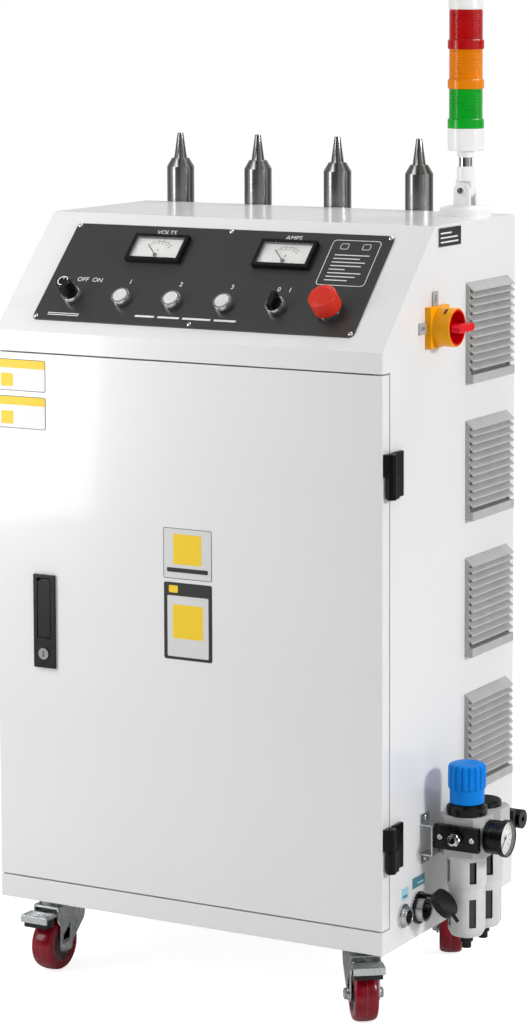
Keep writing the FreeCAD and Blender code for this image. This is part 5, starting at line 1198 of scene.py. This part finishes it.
def rim_spots(face, x0, x1, low, high, nx, nz):
    """Even spots round a rectangle on a face."""
    xs = [x0 + (x1 - x0) * k / (nx - 1) for k in range(nx)]
    zs = [low + (high - low) * k / (nz - 1) for k in range(nz)]
    edge = [(x, z) for x in xs for z in (low, high)] + [(x, z) for z in zs[1:-1] for x in (x0, x1)]
    return [(face.spot(x, z, 0), face.out) for x, z in edge]


inset = 4
half_w = (rear_high.x - rear_low.x) / 2 / MM - inset
lowest = (rear_low.z - underside) / MM + inset
highest = (rear_high.z - underside) / MM - inset
rear_spots = rim_spots(rear, -half_w, half_w, lowest, highest, 4, 5)
screws("rear_screws", "cross", 4.0, rear_spots, chrome, "cabinet")


# Stage, light and camera

def stage():
    """A plain white floor that keeps the machine's shadow."""
    work = bmesh.new()
    far = 9.0
    corner_spots = [work.verts.new((x, y, 0)) for x, y in ((-far, -far), (far, -far), (far, far), (-far, far))]
    work.faces.new(corner_spots)
    mesh = plain_mesh(work, "floor")
    floor = linked("floor", mesh)
    material = bpy.data.materials.new("studio_floor")
    material.use_nodes = True
    net = Net(material.node_tree)
    shader = material.node_tree.nodes["Principled BSDF"]
    shader.inputs["Base Color"].default_value = (0.78, 0.78, 0.78, 1)
    shader.inputs["Roughness"].default_value = 0.9
    glow = net.add("ShaderNodeEmission", {"Color": (1, 1, 1, 1), "Strength": 0.84})
    dim = net.add("ShaderNodeBsdfDiffuse", {"Color": (0.5, 0.5, 0.5, 1)})
    seen = net.add("ShaderNodeAddShader", {0: glow.outputs[0], 1: dim.outputs[0]})
    path = net.add("ShaderNodeLightPath")
    mix = net.add("ShaderNodeMixShader", {0: path.outputs["Is Camera Ray"], 1: shader.outputs[0], 2: seen.outputs[0]})
    out = material.node_tree.nodes["Material Output"]
    net.feed(out.inputs["Surface"], mix.outputs[0])
    mesh.materials.append(material)


def surroundings():
    """A room that is white to the camera, evenly lit, with light and dark bands for metal to mirror."""
    world = bpy.data.worlds.new("studio")
    scene.world = world
    world.use_nodes = True
    net = Net(world.node_tree)
    background = world.node_tree.nodes["Background"]
    path = net.add("ShaderNodeLightPath")
    seen = {0: path.outputs["Is Camera Ray"], 1: path.outputs["Is Transmission Ray"]}
    bright = net.add("ShaderNodeMath", seen, operation="MAXIMUM")
    way = net.add("ShaderNodeSeparateXYZ", {"Vector": net.add("ShaderNodeTexCoord").outputs["Generated"]})
    turn = net.add("ShaderNodeMath", {0: way.outputs["Y"], 1: way.outputs["X"]}, operation="ARCTAN2")
    share = net.add("ShaderNodeMapRange", {"Value": turn.outputs[0], "From Min": -math.pi, "From Max": math.pi})
    ramp = net.add("ShaderNodeValToRGB", {"Fac": share.outputs["Result"]})
    # Each band: its place as a share of the turn round the room, and its tone.
    bands = (
        (0.0, 0.4), (0.06, 0.15), (0.085, 0.9), (0.13, 0.9), (0.16, 0.07), (0.31, 0.07), (0.36, 0.4), (0.45, 0.4),
        (0.48, 0.12), (0.51, 1.0), (0.56, 1.0), (0.585, 0.08), (0.64, 0.12), (0.7, 0.6), (1.0, 0.4),
    )
    stops = ramp.color_ramp.elements
    while len(stops) < len(bands):
        stops.new(0.5)
    for stop, (place, tone) in zip(stops, bands):
        stop.position = place
        stop.color = (tone, tone, tone, 1)
    even_light = 0.36
    tones = {"Factor": path.outputs["Is Glossy Ray"], "A": even_light, "B": ramp.outputs["Color"]}
    room = net.add("ShaderNodeMix", tones)
    level = net.add("ShaderNodeMix", {"Factor": bright.outputs[0], "A": room.outputs["Result"], "B": 1.0})
    net.feed(background.inputs["Strength"], level.outputs["Result"])
    background.inputs["Color"].default_value = (1, 1, 1, 1)


def lamp(name, spot, aim, size, power):
    """A soft rectangular lamp."""
    light = bpy.data.lights.new(name, "AREA")
    light.shape = "RECTANGLE"
    light.size, light.size_y = size
    light.energy = power
    obj = linked(name, light)
    obj.location = spot
    obj.rotation_euler = (Vector(aim) - Vector(spot)).to_track_quat("-Z", "Y").to_euler()
    obj.visible_camera = False


def camera():
    """The photograph's long lens, looking a little down at the machine."""
    data = bpy.data.cameras.new("camera")
    data.sensor_width = 36
    data.lens = 112.4
    data.shift_x = -0.0415
    data.shift_y = -0.20
    data.clip_end = 100
    obj = linked("camera", data)
    obj.location = (2.1781, -3.8262, 1.3830)
    obj.rotation_euler = (math.radians(84.0943), math.radians(0.1126), math.radians(28.7299))
    scene.camera = obj


stage()
surroundings()
lamp("key_left", (-0.95, -1.15, 1.05), (-0.05, -0.2, 0.75), (0.4, 1.3), 10.3)
lamp("key_high", (-0.7, -1.5, 2.7), (0, -0.1, 0.95), (1.2, 0.8), 13.2)
lamp("key_right", (3.4, -0.1, 1.75), (0.3, 0, 0.7), (0.5, 0.5), 58)
lamp("top_back", (0.2, 1.2, 2.8), (0, 0, 1.0), (1.6, 1.0), 31)
camera()

scene.view_settings.view_transform = "Standard"
